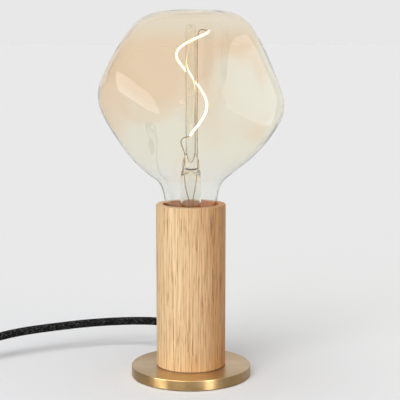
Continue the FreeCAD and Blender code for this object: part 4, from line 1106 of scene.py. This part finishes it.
@dataclass
class BraidedCord:
    """A free braided cord laid along one smooth line. Its route is in millimetres."""

    name: str
    route: list[Point]
    far_end: str
    lay: str
    stands_for: tuple[str, ...]
    carries: tuple[str, ...]
    length: float
    diameter: float = 6.8 * MM
    sides: int = 14
    steps: int = 6
    same_place: float = 0.01 * MM

    def line(self) -> list[Vector]:
        """Points read from the route's own smooth spline.

        Returns:
            The points, none twice.
        """
        curve = bpy.data.curves.new(self.name + "_route", "CURVE")
        curve.dimensions = "3D"
        curve.resolution_u = self.steps
        spline = curve.splines.new("NURBS")
        spline.points.add(len(self.route) - 1)
        for point, place in zip(spline.points, self.route):
            point.co = (*(c * MM for c in place), 1.0)
        spline.order_u = 3
        spline.use_endpoint_u = True
        holder = bpy.data.objects.new(self.name + "_route", curve)
        bpy.context.scene.collection.objects.link(holder)
        depsgraph = bpy.context.evaluated_depsgraph_get()
        mesh = bpy.data.meshes.new_from_object(holder.evaluated_get(depsgraph))
        places = [v.co.copy() for v in mesh.vertices]
        bpy.data.objects.remove(holder)
        bpy.data.meshes.remove(mesh)
        kept = [places[0]]
        for place in places[1:]:
            if (place - kept[-1]).length > self.same_place:
                kept.append(place)
        return kept

    def rings(self, line: Sequence[Vector]) -> tuple[list[Vector], list[float]]:
        """Rings of corners round the line, carried along it without twist.

        Args:
            line: The cord's middle.

        Returns:
            The corners, and each ring's run in cord girths.
        """
        r, last = self.diameter / 2, len(line) - 1
        ways = [(line[min(i + 1, last)] - line[max(i - 1, 0)]).normalized() for i in range(last + 1)]
        side = ways[0].cross(Vector((0, 0, 1))).normalized()
        points, runs, run = [], [], 0.0
        for i, (place, way) in enumerate(zip(line, ways)):
            side = (side - way * side.dot(way)).normalized()
            up = side.cross(way)
            run += (place - line[i - 1]).length if i else 0.0
            runs.append(run / (ROUND * r))
            for k in range(self.sides):
                angle = ROUND * k / self.sides
                points.append(place + (side * math.cos(angle) + up * math.sin(angle)) * r)
        LOG.info("%s is %.3f m long", self.name, run)
        return points, runs

    def skin(self, runs: Sequence[float]) -> tuple[list[tuple[int, ...]], list[Pair]]:
        """Faces between the rings and over both ends, and a map along the cord.

        Args:
            runs: Each ring's run in cord girths.

        Returns:
            The faces, and a map place for each of their corners.
        """
        sides, last = self.sides, len(runs) - 1
        faces, maps = [], []
        for i in range(last):
            for k in range(sides):
                a, b = i * sides + k, i * sides + (k + 1) % sides
                faces.append((a, a + sides, b + sides, b))
                low, high = k / sides, (k + 1) / sides
                maps += [(low, runs[i]), (low, runs[i + 1]), (high, runs[i + 1]), (high, runs[i])]
        faces += [tuple(range(sides)), tuple(last * sides + k for k in reversed(range(sides)))]
        maps += [(0.5, 0.0)] * (2 * sides)
        return faces, maps

    def build(self) -> bpy.types.Object:
        """Returns:
            The cord's object.
        """
        line = self.line()
        points, runs = self.rings(line)
        faces, maps = self.skin(runs)
        piece = add_piece(self.name, points, faces, BRAID, "lamp")
        layer = piece.data.uv_layers.new(name="along")
        layer.data.foreach_set("uv", [c for pair in maps for c in pair])
        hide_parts(*self.stands_for)
        return piece


LEAD = BraidedCord(
    "cord_to_switch",
    [(0, 43, 21), (0, 58, 21), (-6, 73, 20.5), (-17.5, 84.6, 20), (-34, 92, 19.7), (-58, 93, 19.4),
     (-87, 87, 19.3), (-117, 74.5, 18.8), (-146, 57, 18.9), (-170, 38, 16.8), (-184, 25, 12.2),
     (-197, 12.75, 7.6), (-210.6, 2.55, 7.6)],
    far_end="fitting", lay="loose", stands_for=("cord_lead",),
    carries=("switch_base", "switch_cover", "switch_rocker", "switch_screws", "switch_contacts"),
    length=0.270)
SUPPLY = BraidedCord(
    "cord_to_plug",
    [(-245.8, -23.85, 7.6), (-255.4, -31.05, 7.6), (-268.36, -40.77, 4.6), *Coil().points(),
     (-327.9, 37.1, 12), (-316, 51, 9), (-301, 61.5, 7.4), (-284, 67, 6.9), (-273, 67.5, 6.85),
     (-259, 67.5, 6.85)],
    far_end="plug", lay="coiled", stands_for=("cord_feed", "cord_coil", "cord_end"),
    carries=("coil_tie", "plug_body", "plug_pins"), length=1.44)


# ---- studio -----------------------------------------------------------------------------------


class Lights(Enum):
    """What a lamp lights: the glass alone, or all but the glass."""

    GLASS = "INCLUDE"
    SOLIDS = "EXCLUDE"

    def link(self, lamp: bpy.types.Object) -> None:
        """Link the lamp to the glass, or keep it off the glass.

        Args:
            lamp: The lamp.
        """
        group = bpy.data.collections.new(lamp.name + "_glass")
        for name in GLASS_PIECES:
            group.objects.link(bpy.data.objects[name])
        for entry in group.collection_objects:
            entry.light_linking.link_state = self.value
        lamp.light_linking.receiver_collection = group


@dataclass(frozen=True)
class Softbox:
    """A soft lamp aimed at a point of the object, which shows as a highlight and lights nothing else."""

    name: str
    place: Point
    size: Pair
    watts: float
    aim: Point = (0, 0, 0.12)
    lights: Lights = Lights.SOLIDS

    def build(self) -> None:
        """Hang the lamp and aim it, and hide it from all but gloss."""
        light = bpy.data.lights.new(self.name, "AREA")
        light.shape = "RECTANGLE"
        light.size, light.size_y = self.size
        light.energy = self.watts
        lamp = bpy.data.objects.new(self.name, light)
        lamp.location = self.place
        lamp.rotation_euler = (Vector(self.aim) - Vector(self.place)).to_track_quat("-Z", "Y").to_euler()
        for ray in ("diffuse", "transmission", "camera"):
            setattr(lamp, "visible_" + ray, False)
        bpy.context.scene.collection.objects.link(lamp)
        self.lights.link(lamp)


@dataclass(frozen=True)
class Sky:
    """An even distant lamp with a soft edge, which lights all but the glass."""

    name: str
    towards: Point
    strength: float
    spread: float

    def build(self) -> None:
        """Hang the lamp so that it shines along its direction."""
        light = bpy.data.lights.new(self.name, "SUN")
        light.energy, light.angle = self.strength, math.radians(self.spread)
        lamp = bpy.data.objects.new(self.name, light)
        lamp.rotation_euler = Vector(self.towards).to_track_quat("-Z", "Y").to_euler()
        bpy.context.scene.collection.objects.link(lamp)
        Lights.SOLIDS.link(lamp)


@dataclass
class Studio:
    """Pale floor, even light and the camera.

    Where gloss mirrors the world, its strength is the one named ahead in front and behind, and
    the one named sides to the left and right.
    """

    camera_place: Point = (7.09 * MM, -854.5 * MM, 258.1 * MM)
    pitch: float = 7.955
    film: float = 36.0
    focal_share: float = 1114.6 / 400
    pale: Colour = tone(232, 232, 232)
    fill: float = 0.22
    ahead: float = 0.96
    sides: float = 0.26
    side_edge: Pair = (0.62, 0.86)
    floor_size: float = 3000.0
    skies: tuple[Sky, ...] = (
        Sky("overhead", (0.05, 0.12, -1.0), strength=1.66, spread=60),
        Sky("window", (0.46, 0.84, -0.62), strength=1.42, spread=40),
    )
    boxes: tuple[Softbox, ...] = (
        Softbox("strip_left", (-1.05, -0.62, 0.26), size=(0.50, 0.62), watts=14.0),
        Softbox("strip_right", (0.62, -0.90, 0.26), size=(0.28, 0.55), watts=6.4),
        Softbox("glass_window", (-0.95, -0.24, 0.20), size=(0.70, 0.80), watts=4.2,
                aim=(0, 0, 0.20), lights=Lights.GLASS),
        Softbox("glass_side", (1.05, 0.10, 0.36), size=(1.10, 0.90), watts=3.2,
                aim=(0, 0, 0.20), lights=Lights.GLASS),
    )

    def build(self) -> None:
        """Set up the floor, lights, world and camera."""
        self.floor()
        for lamp in (*self.skies, *self.boxes):
            lamp.build()
        self.world()
        self.camera()
        bpy.context.scene.view_settings.view_transform = "Standard"

    def floor(self) -> None:
        """A floor that ends past what the camera can tell from the world."""
        half = self.floor_size / 2
        mesh = bpy.data.meshes.new("floor")
        corners = [(-half, -half, 0), (half, -half, 0), (half, half, 0), (-half, half, 0)]
        mesh.from_pydata(corners, [], [(0, 1, 2, 3)])
        mesh.materials.append(Backdrop("pale_floor").material())
        floor = bpy.data.objects.new("floor", mesh)
        bpy.context.scene.collection.objects.link(floor)

    def world(self) -> None:
        """Pale to the eye and in glass, dimmer at the sides where it is mirrored, a softer fill on matt."""
        world = bpy.data.worlds.new("studio")
        world.use_nodes = True
        world.node_tree.nodes.clear()
        nodes = Nodes(world.node_tree)

        def sky(colour: Colour, strength: object) -> Socket:
            """One even background."""
            return nodes.add("ShaderNodeBackground", {"Color": colour, "Strength": strength}).outputs[0]

        path = nodes.add("ShaderNodeLightPath").outputs
        seen = nodes.calc("MAXIMUM", path["Is Camera Ray"], path["Is Transmission Ray"])
        sideways = nodes.split(nodes.add("ShaderNodeTexCoord").outputs["Generated"])[0]
        strength = nodes.ease(nodes.calc("ABSOLUTE", sideways), *self.side_edge, self.ahead, self.sides)
        light = {0: seen, 1: sky(WHITE, self.fill), 2: sky(self.pale, 1.0)}
        unmirrored = nodes.add("ShaderNodeMixShader", light).outputs[0]
        light = {0: nodes.mirrored(), 1: unmirrored, 2: sky(self.pale, strength)}
        surface = nodes.add("ShaderNodeMixShader", light).outputs[0]
        nodes.add("ShaderNodeOutputWorld", {"Surface": surface})
        bpy.context.scene.world = world

    def camera(self) -> None:
        """The photograph's viewpoint."""
        lens = bpy.data.cameras.new("camera")
        lens.sensor_width = self.film
        lens.lens = self.film * self.focal_share
        camera = bpy.data.objects.new("camera", lens)
        camera.location = self.camera_place
        camera.rotation_euler = (math.radians(90 - self.pitch), 0, 0)
        bpy.context.scene.collection.objects.link(camera)
        bpy.context.scene.camera = camera


def dress_nodes() -> None:
    """Give each carried-over piece its finish."""
    for finish, names in NODE_FINISHES.items():
        for name in names:
            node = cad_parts[name]
            node.data.materials.clear()
            node.data.materials.append(finish.material())
            LOG.info("%s: %s", name, finish.name)


def main() -> None:
    """Build the cords, the bulb, the carried-over pieces' finishes and the studio."""
    logging.basicConfig(level=logging.INFO)
    for cord in (LEAD, SUPPLY):
        cord.build()
    Bulb().build()
    dress_nodes()
    Studio().build()


if __name__ == "__main__":
    main()
